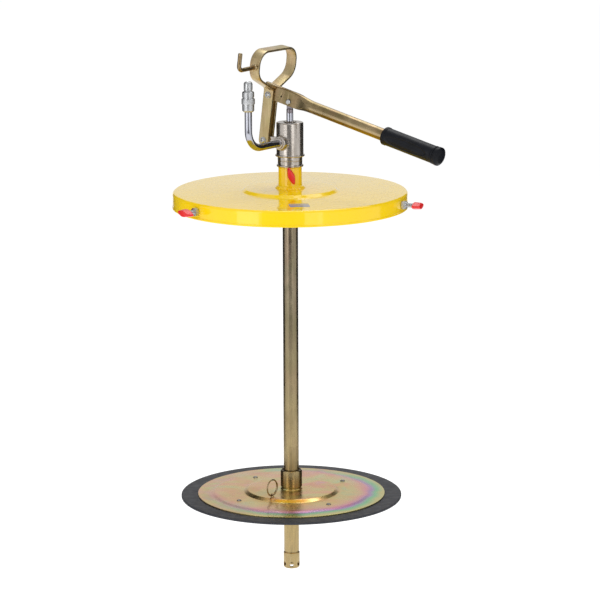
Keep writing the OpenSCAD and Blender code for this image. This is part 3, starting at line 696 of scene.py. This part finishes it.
def make_wing(name, node, body, angle, z, root, roll):
    """Moulded wing: two blades that thin outwards, a hub towards the nut, a finger hollow in each side."""
    length, thick, deep, n = 15.8, 6.3, 13.8, 72
    roundness = 1.6  # 1 gives a diamond, 2 an ellipse
    stations = [(0.0, 0.80), (0.25, 0.90), (0.7, 0.97), (1.6, 1.0)]
    stations += [(x, 1.0 - 0.02 * (x - 1.6) / 15) for x in np.linspace(2.6, deep - 2.4, 12)]
    stations += [(deep - 1.3, 0.965), (deep - 0.55, 0.92), (deep - 0.12, 0.85), (deep, 0.78)]
    sections = []
    for x, grow in stations:
        t = x / deep
        half_l = length * grow * mix(1.0, 0.86, smooth((t - 0.35) / 0.65))
        half_t = thick * grow * mix(1.0, 0.90, t)
        ring = []
        for k in range(n):
            a = 2 * math.pi * k / n
            c, s = math.cos(a), math.sin(a)
            u = math.copysign(abs(c) ** (2 / roundness), c) * half_l
            v = math.copysign(abs(s) ** (2 / roundness), s) * half_t
            along = abs(u) / half_l
            hollow = 0.7 * math.exp(-((along - 0.55) / 0.2) ** 2) * math.exp(-((t - 0.55) / 0.32) ** 2)
            v -= math.copysign(min(abs(v), hollow), v)
            ring.append((root + x, v, u))
        sections.append(ring)
    place = at_screw(angle, z, roll)
    loft(name, sections, body, RED, "red_plastic", [node], place, crease=50)
    hub = [(0.0, root + 0.1), (5.0, root + 0.1, 0.5), (6.0, root + 1.6, 0.5), (5.8, root + 6, 0.5),
           (0.0, root + 6)]
    turned(name + "_hub", hub, body, RED, "red_plastic", at=place @ Matrix.Rotation(math.radians(90), 4, "Y"),
           around=48)


def make_screws():
    rim_set = {1: (90, 3.5), 2: (84, 1.0), 3: (82, 0.0)}
    for i, (roll, out) in rim_set.items():
        a = screw_angle(f"rim_screw_{i}_travel")
        make_stud(f"rim_thread_{i}", f"rim_stud_{i}", f"rim_screw_{i}", a, RIM_SCREW_Z, 198.5 + out,
                  229 + out)
        make_wing(f"rim_grip_{i}", f"rim_wing_{i}", f"rim_knob_{i}", a, RIM_SCREW_Z, 222.6 + out,
                  math.radians(roll))
    a = screw_angle("neck_screw_travel")
    make_stud("neck_thread", "neck_stud", "neck_screw", a, NECK_SCREW_Z, TUBE_R + 0.4, 36)
    make_wing("neck_grip", "neck_wing", "neck_knob", a, NECK_SCREW_Z, 29.6, math.radians(20))


# ---- tube, foot and head
def make_tube():
    top = HEAD_BASE + 6
    corners = [(TUBE_IN_R, TUBE_FOOT), (TUBE_R, TUBE_FOOT, 0.5), (TUBE_R, top, 0.4), (TUBE_IN_R, top)]
    turned("tube_shell", corners, "pump", TUBE_ZINC, "yellow_zinc", ["suction_tube"], around=128)


def make_foot():
    """Foot ring with a groove where it meets the tube, a chamfer and six inlet holes."""
    z, joint_z = FOOT_Z, TUBE_FOOT
    corners = [
        (11.0, z, 0.5), (FOOT_R - 1.4, z, 0.5), (FOOT_R, z + 2.2, 0.8), (FOOT_R, joint_z - 2.4, 0.5),
        (FOOT_R - 0.8, joint_z - 1.5, 0.3), (TUBE_R - 0.9, joint_z - 1.4, 0.2), (TUBE_R - 0.9, joint_z, 0),
        (TUBE_IN_R - 0.2, joint_z + 0.01),
        (TUBE_IN_R - 0.2, joint_z + 12), (10.6, joint_z + 12), (10.6, z + 22.5), (6.0, z + 22.5),
        (6.0, z + 18.5), (11.0, z + 18.5),
    ]
    foot = turned("foot_shell", corners, "pump", TUBE_ZINC, "yellow_zinc", ["foot_valve"], around=144)
    holes = []
    for k in range(6):
        turn = Matrix.Rotation(math.radians(37 + 60 * k), 4, "Z")
        holes.append(cutter(4.0, 10, turn @ Matrix.Translation((0, -FOOT_R, z + 8)) @ DOWN_Y))
    cut(foot, holes, 0.35)


def make_head():
    """Turned head: base flange, waist line, barrel with a broken top edge and a recess round the rod."""
    z0, z1, r, f = HEAD_BASE, HEAD_TOP, HEAD_R, FLANGE_R
    corners = [
        (TUBE_R + 0.02, z0), (f - 0.4, z0, 0.4), (f, z0 + 1.2, 0.5), (f - 0.2, z0 + 2.6, 0.6),
        (r + 0.2, z0 + 2.9, 0.4), (r, z0 + 3.8, 0.5), (r, z1 - 1.3, 0.3), (r - 1.3, z1, 0.3),
        (11.6, z1, 0.3), (11.6, z1 - 0.8, 0.2), (9.1, z1 - 0.8), (9.1, z1 - 15.4), (ROD_R + 0.45, z1 - 15.4),
        (ROD_R + 0.45, z1 - 20.4), (TUBE_IN_R, z1 - 20.4), (TUBE_IN_R, z0 + 8), (TUBE_R + 0.02, z0 + 8),
    ]
    turned("head_barrel", corners, "pump", NICKEL, "nickel", ["pump_head"], around=160)
    z0, z1, c = NECK_TOP, HEAD_BASE, COLLAR_R
    corners = [
        (TUBE_R + 0.02, z0), (c - 0.3, z0, 0.4), (c, z0 + 1.6, 0.6), (c - 0.2, z0 + 2.8, 0.6),
        (c - 1.9, z0 + 3.6, 0.4), (c - 2.1, z0 + 4.4, 0.4), (c - 1.9, z0 + 9.6, 0.2),
        (c - 2.3, z0 + 9.9, 0.1),
        (c - 2.3, z0 + 10.4, 0.1), (c - 1.9, z0 + 10.7, 0.2), (c - 1.9, z1 - 1.0, 0.4), (c - 2.4, z1, 0.3),
        (TUBE_R + 0.02, z1),
    ]
    turned("collar_barrel", corners, "pump", NICKEL, "nickel", ["head_collar"], around=160)


def make_gland():
    """Hexagonal gland nut with chamfered corners and a wiper edge round the rod."""
    z = HEAD_TOP
    bore = ROD_R + 0.3

    def hexagon(r, a, h):
        if h < z - 0.5 or r < 8.2:
            return r
        side = ((a + math.pi / 6) % (math.pi / 3)) - math.pi / 6
        return min(r, 9.3 / math.cos(side))

    corners = [
        (bore, z - 7), (8.9, z - 7, 0.3), (8.9, z - 0.4), (9.8, z - 0.2), (10.8, z + 0.2, 0.2),
        (10.8, z + 1.0, 0.2), (9.6, z + 1.45, 0.2), (bore + 1.2, z + 1.45, 0.4), (bore, z + 0.8, 0.2),
    ]
    turned("gland_hex", corners, "pump", NICKEL, "nickel", ["gland_nut"], around=144, shape=hexagon,
           crease=28)


def make_bracket():
    """Link bracket: a plate lug with a round end and a weld where it meets the head."""
    r = 7.0
    x, z = LINK_PIN.x, LINK_PIN.z
    outline = [(-HEAD_R + 1.0, z + r), (-HEAD_R + 1.0, z - r)]
    outline += [(x - r * math.sin(t), z - r * math.cos(t)) for t in np.linspace(0, math.pi, 21)]
    lug = prism("bracket_lug", outline, 4.2, 0.6, "pump", NICKEL, "nickel", ["link_bracket"])
    at = Matrix.Translation((x, 0, z)) @ DOWN_Y
    cut(lug, [cutter(3.1, 20, at)], 0.25)
    path = []
    for k in range(48):
        u = k / 48 * 4
        side, t = int(u), u - int(u)
        y0, z0 = [(-4.6, -7.4), (4.6, -7.4), (4.6, 7.4), (-4.6, 7.4)][side]
        y1, z1 = [(4.6, -7.4), (4.6, 7.4), (-4.6, 7.4), (-4.6, -7.4)][side]
        y, dz = mix(y0, y1, t), mix(z0, z1, t)
        path.append((-math.sqrt(HEAD_R ** 2 - y * y) - 0.1, y, z + dz))
    weld("bracket_weld", path, 1.15, 0.15, 150, "pump", NICKEL, "nickel", up=Vector((1, 0, 0)))


# ---- outlet
def make_outlet():
    """Boss, bent pipe, coupling with its band, and the filler nozzle."""
    place = Matrix.Translation((0, 0, OUTLET_Z)) @ DOWN_Y
    end = -low("outlet_boss")[1]
    corners = [
        (4.0, 13), (12.2, 13), (12.2, end - 4.2, 0.8), (11.2, end - 3.0, 0.6), (9.0, end - 2.8, 0.4),
        (8.8, end - 0.3, 0.5), (6.4, end, 0.3), (4.0, end - 0.2),
    ]
    turned("outlet_socket", corners, "pump", NICKEL, "nickel", ["outlet_boss"], place, around=96)
    bead = []
    for k in range(72):
        a = 2 * math.pi * k / 72
        x, dz = 12.5 * math.cos(a), 12.5 * math.sin(a)
        bead.append((x, -math.sqrt(HEAD_R ** 2 - x * x) - 0.2, OUTLET_Z + dz))
    weld("outlet_weld", bead, 1.1, 0.15, 160, "pump", NICKEL, "nickel", up=Vector((0, 1, 0)))

    r, bend = 6.35, 32.0
    top = low("coupling_body")[2] + 4
    path = [(0, y, OUTLET_Z) for y in np.linspace(-26, OUTLET_Y + bend, 12)]
    for t in np.linspace(0, math.pi / 2, 25)[1:]:
        path.append((0, OUTLET_Y + bend - bend * math.sin(t), OUTLET_Z + bend - bend * math.cos(t)))
    path += [(0, OUTLET_Y, z) for z in np.linspace(OUTLET_Z + bend, top, 8)[1:]]
    loft("outlet_bend", sweep(path, circle(r, 56), up=Vector((1, 0, 0))), "pump", CHROME, "chrome",
         ["outlet_pipe"])

    at = Matrix.Translation((0, OUTLET_Y, 0))
    z0, z1, rb = low("coupling_body")[2], high("coupling_body")[2], 10.3
    s0, s1 = low("coupling_sleeve")[2], high("coupling_sleeve")[2]
    corners = [
        (6.4, z0, 0.3), (8.6, z0, 0.3), (rb, z0 + 2.2, 0.4), (rb, s1 + 0.4, 0.1), (rb - 0.8, s1 + 0.8, 0.1),
        (rb - 0.8, s1 + 2.2, 0.1), (rb, s1 + 2.7, 0.2), (rb, z1 - 2.0, 0.4), (8.6, z1, 0.3), (6.6, z1),
        (6.6, z0 + 8), (3.5, z0 + 8), (3.5, z0 + 6), (6.4, z0 + 6),
    ]
    turned("coupling_barrel", corners, "pump", ZINC, "zinc", ["coupling_body"], at, around=112)

    def knurl(rr, a, z):
        if rr < 11 or z < s0 + 1.2 or z > s1 - 1.2:
            return rr
        left = math.cos(30 * a + (z - s0) * 2.4)
        right = math.cos(30 * a - (z - s0) * 2.4)
        return rr - 0.22 + 0.16 * max(left, right)

    band = [(rb, s0, 0.2), (11.4, s0 + 0.1, 0.4), (11.45, s0 + 1.2)]
    band += [(11.45, z) for z in np.linspace(s0 + 1.25, s1 - 1.25, 30)]
    band += [(11.45, s1 - 1.2), (11.4, s1 - 0.1, 0.4), (rb, s1, 0.2)]
    turned("coupling_band", band, "pump", ZINC, "zinc", ["coupling_sleeve"], at, around=288, shape=knurl,
           crease=60)

    t1 = high("filler_tip")[2]
    corners = [
        (2.5, z1 - 4), (6.4, z1 - 4), (6.4, z1, 0.2), (6.9, z1 + 0.3, 0.1), (6.6, z1 + 1.2, 0.4),
        (7.4, z1 + 2.2, 0.4), (7.5, z1 + 3.5, 0.3), (7.5, t1 - 3.6, 1.2), (6.0, t1 - 0.6, 1.6),
        (3.6, t1, 0.6), (2.5, t1 - 0.9, 0.3),
    ]
    turned("filler_nozzle", corners, "pump", ZINC, "zinc", ["filler_tip"], at, around=96)


# ---- rod, eye and pins
def make_eye():
    """Flat eye on a round shank, with softened shoulders, and the headed pin through it."""
    base, top = low("rod_eye")[2], high("rod_eye")[2]
    r, half = (top - ROD_PIN.z), (high("rod_eye")[0] - low("rod_eye")[0]) / 2
    shoulder = ROD_PIN.z - 12.2
    shank = [(0, base), (half - 0.1, base, 0.1), (half - 0.1, shoulder - 0.8, 0.4),
             (half - 0.9, shoulder, 0.3), (0, shoulder)]
    turned("eye_shank", shank, "rod", ROD_STEEL, "zinc", around=64)
    outline = [(-r, shoulder - 1), (r, shoulder - 1)]
    outline += [(r * math.cos(t), ROD_PIN.z + r * math.sin(t)) for t in np.linspace(0, math.pi, 25)]
    blade = prism("eye_blade", outline, 2.1, 0.35, "rod", ROD_STEEL, "zinc", ["rod_eye"])
    cut(blade, [cutter(3.05, 20, Matrix.Translation(ROD_PIN) @ DOWN_Y)], 0.2)
    face = low("eye_pin")[1] + 2.6
    head = [(0, -0.1), (4.9, 0.0, 0.2), (4.9, 1.0, 0.7), (3.5, 2.5, 1.2), (0, 2.55)]
    at = Matrix.Translation((ROD_PIN.x, face, ROD_PIN.z)) @ DOWN_Y
    turned("eye_pin_head", head, "rod", ZINC, "zinc", at=at, around=48)
    end = face - high("eye_pin")[1]
    shaft = [(0, end), (2.4, end, 0.3), (2.98, end + 0.6, 0.2), (2.98, 0.4, 0.1), (0, 0.4)]
    turned("eye_pin_shaft", shaft, "rod", ZINC, "zinc", ["eye_pin"], at, around=40)


def pivot_bolt(name, nodes, z, head_r=4.7):
    """Bolt through both legs: domed head and washer near the outlet, hexagon nut on the far side."""
    at = LINK_AT @ Matrix.Translation((0, -8.5, z)) @ DOWN_Y
    washer = [(3.05, 0.0, 0.1), (5.9, 0.0, 0.25), (5.9, 1.0, 0.25), (3.05, 1.0, 0.1)]
    turned(name + "_washer", washer, "link", ZINC, "zinc", at=at, around=48)

    def socket(r, a, h):
        if r > 2.6 or h < 1.5:
            return r
        side = (a % (math.pi / 3)) - math.pi / 6
        return min(r, 2.15 / math.cos(side)) if r > 0.1 else r

    head = [(0, 0.9), (head_r, 0.9, 0.2), (head_r, 1.9, 0.9), (3.2, 3.55, 0.8), (2.3, 3.55, 0.1),
            (2.25, 2.2, 0.1), (0, 2.2)]
    turned(name + "_head", head, "link", ZINC, "zinc", at=at, around=72, shape=socket)
    shaft = [(0, -22.4), (2.5, -22.4, 0.4), (2.95, -21.8, 0.3), (2.95, 1.5), (0, 1.5)]
    turned(name + "_shaft", shaft, "link", ZINC, "zinc", [nodes[0]], at, around=40)

    def hexagon(r, a, h):
        if r < 4.2:
            return r
        side = (a % (math.pi / 3)) - math.pi / 6
        return min(r, 4.85 / math.cos(side))

    nut = [(3.0, -17.1, 0.2), (5.0, -17.1, 0.1), (5.55, -17.6, 0.1), (5.55, -21.0, 0.1), (5.0, -21.5, 0.1),
           (3.0, -21.5, 0.3)]
    turned(name + "_hex", nut, "link", ZINC, "zinc", [nodes[1]], at, around=144, shape=hexagon, crease=24)


# ---- lever and grip
def make_lever():
    """Steel tube whose root is folded into an upright channel, open below, over the rod's eye."""
    root, flat_end, round_start, tube_end = -55.0, 10.5, 52.0, 310.0
    half_w, half_h, tube_r, inner, roof = 4.2, 13.5, 10.64, 2.4, 18.0
    stations = [(root, 0.6), (root + 0.2, 0.25), (root + 0.6, 0.0)]
    stations += [(x, 0.0) for x in np.linspace(root + 4, flat_end, 10)]
    stations += [(x, 0.0) for x in np.linspace(flat_end, round_start, 17)[1:]]
    stations += [(x, 0.0) for x in np.linspace(round_start, tube_end, 20)[1:]]
    sections = []
    for x, d in stations:
        t = smooth((x - flat_end) / (round_start - flat_end))
        a, b = mix(half_w, tube_r, t), mix(half_h, tube_r, t)
        r, r_low = mix(2.6, tube_r, smooth(t * 1.15)), mix(0.5, tube_r, smooth(t * 1.15))
        middle = mix(ROOT_MID, LEVER_LINE, t)
        ring = round_box(a - d, b - d, max(0.3, r - d), 12, max(0.3, r_low - d))
        sections.append([(x, y, z + middle) for y, z in ring])
    lever = loft("lever_tube", sections, "lever", LEVER_ZINC, "yellow_zinc", ["lever"], LEVER_AT, crease=40)
    floor = ROOT_MID - half_h - 2
    channel = LEVER_AT @ Matrix.Translation(((root - 2 + 11.0) / 2, 0, (floor + roof) / 2))
    cut(lever, [slot_cutter((11.0 - root + 2, 2 * inner, roof - floor), channel)], 0, crease=40)
    holes = [cutter(3.06, 30, LEVER_AT @ DOWN_Y),
             cutter(6.2, 30, LEVER_AT @ Matrix.Translation((-42.2, 0, 0)) @ DOWN_Y),
             cutter(1.7, 30, LEVER_AT @ Matrix.Translation((-17, 0, LEVER_LINE - 0.7)) @ DOWN_Y)]
    cut(lever, holes, 0.3, crease=40)


def make_grip():
    """Moulded grip: flange, barrel with a long oval hollow on each side, ring groove and domed end cap."""
    start, end, r = 206.0, 324.0, 15.15
    oval_mid, oval_half, oval_wide = 257.0, 46.0, 0.62

    def shape(rr, a, x):
        if rr < r - 0.2 or abs(x - oval_mid) > oval_half + 7:
            return rr
        best = 9.0
        for side in (-math.pi / 2, math.pi / 2):
            off = (a - side + math.pi) % (2 * math.pi) - math.pi
            best = min(best, math.hypot((x - oval_mid) / oval_half, off / oval_wide))
        rim = 0.35 * math.exp(-((best - 1.0) / 0.07) ** 2)
        return rr - 0.85 * smooth((0.98 - best) / 0.10) + rim

    corners = [(10.7, start, 0.4), (15.2, start, 1.0), (15.9, start + 1.4, 0.8), (15.9, start + 5.2, 0.8),
               (r, start + 6.6, 0.6)]
    profile = fillet(corners + [(r, start + 8)], False)
    profile += [(r, x) for x in np.linspace(start + 8.4, end - 17, 140)]
    tail = [(r, end - 16.6), (r, end - 15.2, 0.3), (r + 0.5, end - 14.2, 0.5), (r + 0.5, end - 12.2, 0.4),
            (r - 0.9, end - 11.2, 0.3), (r - 0.9, end - 9.4, 0.3), (r + 1.0, end - 8.4, 0.5),
            (r + 1.0, end - 3.4, 2.2), (11.0, end - 0.2, 3.0), (0, end)]
    profile += fillet(tail, False) + [(0, end - 8), (10.7, end - 8)]
    at = LEVER_AT @ Matrix.Translation((0, 0, LEVER_LINE)) @ Matrix.Rotation(math.radians(90), 4, "Y")
    lathe("grip_moulding", profile, "lever", BLACK, "black_plastic", ["grip"], at, around=176, crease=40,
          shape=shape)


# ---- carry strap and hook
def make_strap():
    """One strip of sheet bent into a keyhole: two legs with round feet, flaring into the carrying loop."""
    mid, top = 6.5, 162.0
    far = [(mid, 0), (mid, 92.6, 8), (50, 116.5, 26), (48.5, top, 30), (0, top)]
    near = [(mid, 0), (mid, 92.6, 8), (54, 116.5, 26), (54, top, 28), (0, top)]
    line = fillet(far, False, 6)[:-1] + [(-x, z) for x, z in reversed(fillet(near, False, 6)[:-1])]
    spread = []
    for (x0, z0), (x1, z1) in zip(line, line[1:]):
        n = max(1, round(math.hypot(x1 - x0, z1 - z0) / 6))
        spread += [(mix(x0, x1, k / n), mix(z0, z1, k / n)) for k in range(n)]
    spread.append(line[-1])
    quarter = np.linspace(math.pi / 2, 0, 10)[:-1]
    foot = [(mid, -9.97 * math.sin(t), max(0.6, 10 * math.cos(t))) for t in quarter]
    path = foot + [(y, z, 10.0) for y, z in spread]
    path += [(-y, z, w) for y, z, w in reversed(foot)]
    sections = []
    for i, (y, z, w) in enumerate(path):
        y0, z0, _ = path[max(0, i - 1)]
        y1, z1, _ = path[min(len(path) - 1, i + 1)]
        along = Vector((0, y1 - y0, z1 - z0)).normalized()
        out = Vector((0, -along.z, along.y))
        here = Vector((0, y, z))
        sections.append([here + Vector((1, 0, 0)) * a + out * b for a, b in round_box(w, 2.0, 0.7, 6)])
    strap = loft("strap_strip", sections, "link", STRAP_ZINC_PAINTED_LIT, "yellow_zinc", ["carry_strap"], LINK_AT,
                 crease=40)
    holes = [cutter(3.05, 40, LINK_AT @ Matrix.Translation((0, 0, z)) @ DOWN_Y) for z in (0, LINK_LEN)]
    cut(strap, holes, 0.3, crease=40)


def make_hook():
    """Round bar hook with a hand-bent corner, a broken end and a puddled weld on the loop."""
    bar, bend, y_end, z, rise = 3.75, 9.0, -99.0, 134.0, 30.0
    path = [(0, y, z + 0.6 + (y + 56) * 0.03) for y in np.linspace(-55, y_end + bend, 8)]
    base_z = path[-1][2]
    for t in np.linspace(0, math.pi / 2, 13)[1:]:
        path.append((0, y_end + bend - bend * math.sin(t), base_z + bend - bend * math.cos(t)))
    path += [(0, y_end, h) for h in np.linspace(base_z + bend, z + rise - 1.4, 6)[1:]]
    path += [(0, y_end, z + rise - 0.9), (0, y_end, z + rise - 0.3), (0, y_end, z + rise)]
    n = len(path)

    def section(t):
        k = round(t * (n - 1))
        r = bar * {n - 1: 0.62, n - 2: 0.86, n - 3: 0.96}.get(k, 1.0)
        return circle(r * (1 + 0.02 * math.sin(k * 1.7)), 32)

    loft("hook_bar", sweep(path, section, up=Vector((1, 0, 0))), "link", LEVER_ZINC, "yellow_zinc", ["hook"],
         LINK_AT)
    ring = []
    for k in range(40):
        a = 2 * math.pi * k / 40
        ring.append((4.4 * math.cos(a), -56.3, z + 0.6 + 4.4 * math.sin(a)))
    weld("hook_weld", ring, 1.9, 0.5, 44, "link", STRAP_ZINC_PAINTED_LIT, "yellow_zinc", LINK_AT, Vector((0, 1, 0)))


# ---- follower
def make_follower():
    """Pressed plate with bead and raised middle, rubber lip under it, backing plate, rivets and collar."""
    bore, t = TUBE_R + 0.35, 2.0
    low_top, mid_top, top = LIP_TOP + t, PLATE_TOP - 5, PLATE_TOP
    plate = [
        (bore, top - t), (bore, top), (BOSS_R - 5, top, 6), (BOSS_R + 2.5, mid_top, 6),
        (BEAD_R - 3, mid_top, 4), (BEAD_R + 2.5, low_top, 4), (PLATE_R, low_top, 0.5),
        (PLATE_R, LIP_TOP, 0.3),
        (BEAD_R + 1.5, LIP_TOP, 3), (BEAD_R - 4, mid_top - t, 3), (BOSS_R + 1.5, mid_top - t, 5),
        (BOSS_R - 6, top - t, 5),
    ]
    turned("plate_pressing", plate, "follower", PLATE_ZINC, "plate_zinc", ["follower_plate"], around=256,
           step=8)
    lip_low = low("follower_lip")[2]
    rim = [(bore, lip_low), (LIP_R - 0.1, lip_low, 0.8), (LIP_R - 0.1, LIP_TOP - 0.6, 0.5),
           (LIP_R - 2.2, LIP_TOP - 0.05, 0.5), (bore, LIP_TOP - 0.05)]
    turned("lip_ring", rim, "follower", RUBBER, "rubber", ["follower_lip"], around=256)
    back_lo = low("backing_plate")[2]
    back = [(bore, back_lo), (PLATE_R, back_lo, 0.5), (PLATE_R, lip_low - 0.02, 0.5), (bore, lip_low - 0.02)]
    turned("backing_disc", back, "follower", PLATE_ZINC, "plate_zinc", ["backing_plate"], around=256)
    rivet_lo, rivet_hi = low("plate_rivets")[2], high("plate_rivets")[2]
    for k in range(4):
        at = Matrix.Rotation(math.radians(72.4 + 90 * k), 4, "Z") @ Matrix.Translation((112, 0, 0))
        head = [(0, mid_top - 1), (4.3, mid_top - 1, 0), (4.4, mid_top + 0.1, 0.3),
                (3.0, rivet_hi - 0.2, 0.7), (1.4, rivet_hi - 0.1, 0.4), (1.2, rivet_hi - 0.9, 0.2),
                (0, rivet_hi - 0.9)]
        turned(f"rivet_head_{k + 1}", head, "follower", DARK_STEEL, "zinc", ["plate_rivets"], at, around=40)
        tail = [(0, rivet_lo), (3.0, rivet_lo, 0.6), (4.4, back_lo - 0.1, 0.3), (4.3, back_lo + 0.5),
                (0, back_lo + 0.5)]
        turned(f"rivet_tail_{k + 1}", tail, "follower", DARK_STEEL, "zinc", at=at, around=40)
    c1 = high("follower_collar")[2]
    c0 = c1 - 30
    collar = [
        (bore, top), (17.3, top, 0.2), (17.3, c0 - 0.3, 0.5), (18.6, c0, 0.4), (18.95, c0 + 0.9, 0.4),
        (18.95, c1 - 1.2, 0.5), (17.9, c1, 0.4), (17.0, c1, 0.3), (16.6, c1 - 1.6, 0.3), (bore, c1 - 1.7),
    ]
    turned("collar_sleeve", collar, "follower", TUBE_ZINC, "yellow_zinc", ["follower_collar"], around=128)
    bead = []
    for k in range(64):
        a = 2 * math.pi * k / 64
        bead.append((17.9 * math.cos(a), 17.9 * math.sin(a), top + 0.5))
    weld("collar_weld", bead, 1.2, 0.18, 140, "follower", PLATE_ZINC, "plate_zinc")


def make_ring():
    """Staple and pull ring: a sprung wire ring of two turns side by side."""
    x, y, z = RING_PIN
    top = PLATE_TOP
    legs = [(x, y - 2.4, top - 0.4), (x, y - 2.4, z - 0.4)]
    over = np.linspace(0, math.pi, 11)[1:-1]
    legs += [(x, y - 2.4 * math.cos(t), z - 0.4 + 2.6 * math.sin(t)) for t in over]
    legs += [(x, y + 2.4, z - 0.4), (x, y + 2.4, top - 0.4)]
    here, quarter_turn = Matrix.Translation((x, y, 0)), Matrix.Rotation(math.radians(90), 4, "Z")
    turn = here @ quarter_turn @ Matrix.Translation((-x, -y, 0))
    wire_path = [turn @ Vector(p) for p in legs]
    loft("staple_wire", sweep(wire_path, circle(1.25, 16), up=Vector((0, 1, 0))), "follower", LEVER_ZINC,
         "yellow_zinc", ["ring_staple"])
    major, wire = 13.9, 1.42
    path = []
    turns, per_turn = 1.45, 72
    for k in range(round(turns * per_turn) + 1):
        a = 2 * math.pi * k / per_turn - math.pi / 2 - 0.7
        t = k / (turns * per_turn)
        shift = mix(-0.75, 0.75, t)
        path.append((x + shift, y + major * math.cos(a), z + major + major * math.sin(a)))
    loft("ring_wire", sweep(path, circle(wire * 0.85, 14), up=Vector((1, 0, 0))), "pull_ring", LEVER_ZINC,
         "yellow_zinc", ["pull_ring"])


# ---- carried-over nodes
def dress(nodes, material, bevel=0.25):
    """CAD nodes that keep their shape get a finish and rounded edges."""
    for node in nodes:
        obj = frame["nodes"][node]
        obj.data.materials.clear()
        obj.data.materials.append(material)
        if bevel:
            round_edges(obj, bevel, 40)


make_cover()
make_neck()
make_label()
make_screws()
make_tube()
make_foot()
make_head()
make_gland()
make_bracket()
make_outlet()
make_eye()
pivot_bolt("fulcrum", ["fulcrum_bolt", "fulcrum_nut"], LINK_LEN)
pivot_bolt("link_foot", ["link_bolt", "link_nut"], 0.0)
make_lever()
make_grip()
make_strap()
make_hook()
make_follower()
make_ring()
dress(["rim_nuts"], ZINC, 0.3)
dress(["neck_nut"], YELLOW, 0.3)
dress(["piston_rod"], CHROME, 0)
dress(["eye_clip", "cup_retainer", "foot_stop_pin", "foot_ball", "outlet_ball", "piston_ball"], DARK_STEEL, 0)
dress(["rod_packing", "piston_cup", "wiper_seal"], RUBBER, 0)
dress(["piston"], BRASS, 0.2)
dress(["outlet_spring"], ZINC, 0)


# ---- stage, lights and camera
def plane(name, size, at, turn, colour, glow=0.0):
    bpy.ops.mesh.primitive_plane_add(size=1)
    obj = bpy.context.object
    obj.name = name
    obj.scale = (size[0], size[1], 1)
    obj.rotation_euler = turn
    obj.location = at
    s = Shader(name + "_surface")
    s.set(Roughness=0.9, Specular_IOR_Level=0.0, Emission_Color=(1, 1, 1, 1), Emission_Strength=glow)
    s.base(s.ramp(s.noise(0.8, 2), [(0.3, colour), (0.7, tuple(min(1.0, c * 1.01) for c in colour))]))
    obj.data.materials.append(s.mat)
    return obj


CAMERA_AZIMUTH = math.radians(37)
CAMERA_DOWN = math.radians(11.768)
CAMERA_BACK = 5.3068
CAMERA_HIGH = 0.913
CAMERA_SIDE = 0.0164
CAMERA_ROLL = math.radians(0.2)


def round_axis(azimuth, back, high_up):
    """A point round the pump axis: azimuth 0 is towards -Y, and it grows towards +X."""
    return Vector((math.sin(azimuth) * back, -math.cos(azimuth) * back, high_up))


def area_light(name, azimuth, back, high_up, width, height, watts, aim=(0, 0, -0.1)):
    data = bpy.data.lights.new(name, "AREA")
    data.shape = "RECTANGLE"
    data.size, data.size_y = width, height
    data.energy = watts
    obj = bpy.data.objects.new(name, data)
    bpy.context.collection.objects.link(obj)
    obj.location = round_axis(azimuth, back, high_up)
    obj.rotation_mode = "QUATERNION"
    obj.rotation_quaternion = (Vector(aim) - obj.location).to_track_quat("-Z", "Y")


def make_stage():
    """White floor below the foot, grey flags that only reflections see, three soft lights and a white sky."""
    plane("floor", (60, 60), (0, 0, CAD_BOX[0][2] - 0.25), (0, 0, 0), (0.93, 0.93, 0.93), 0.34)
    flags = [("flag_left", -125, 1.7, 2.1, 0.03), ("flag_right", 125, 1.7, 2.1, 0.03),
             ("flag_front", 0, 3.4, 3.4, 0.22)]
    for name, degrees, back, width, grey in flags:
        a = CAMERA_AZIMUTH + math.radians(degrees)
        flag = plane(name, (width, 3.0), round_axis(a, back, 0.3), (math.radians(90), 0, a), (grey,) * 3)
        flag.visible_camera = False
        flag.visible_diffuse = False
        flag.visible_shadow = False
    area_light("strip_left", CAMERA_AZIMUTH - math.radians(40), 2.6, 0.7, 1.1, 2.2, 15)
    area_light("strip_right", CAMERA_AZIMUTH + math.radians(22), 2.8, 0.6, 0.9, 2.0, 10)
    area_light("overhead", CAMERA_AZIMUTH + math.radians(150), 1.2, 2.6, 2.4, 1.6, 32)
    world = bpy.data.worlds.new("studio")
    bpy.context.scene.world = world
    world.use_nodes = True
    sky = world.node_tree.nodes["Background"]
    sky.inputs["Color"].default_value = (1, 1, 1, 1)
    sky.inputs["Strength"].default_value = 0.72


def make_camera():
    data = bpy.data.cameras.new("camera")
    data.sensor_width = 36
    data.lens = 186.19
    data.clip_end = 100
    cam = bpy.data.objects.new("camera", data)
    bpy.context.collection.objects.link(cam)
    across = Vector((math.cos(CAMERA_AZIMUTH), math.sin(CAMERA_AZIMUTH), 0))
    cam.location = round_axis(CAMERA_AZIMUTH, CAMERA_BACK, CAMERA_HIGH) + across * CAMERA_SIDE
    turn = Matrix.Rotation(CAMERA_AZIMUTH, 3, "Z") @ Matrix.Rotation(math.radians(90) - CAMERA_DOWN, 3, "X")
    cam.rotation_euler = (turn @ Matrix.Rotation(-CAMERA_ROLL, 3, "Z")).to_euler()
    bpy.context.scene.camera = cam


make_stage()
make_camera()
bpy.context.scene.view_settings.view_transform = "Standard"
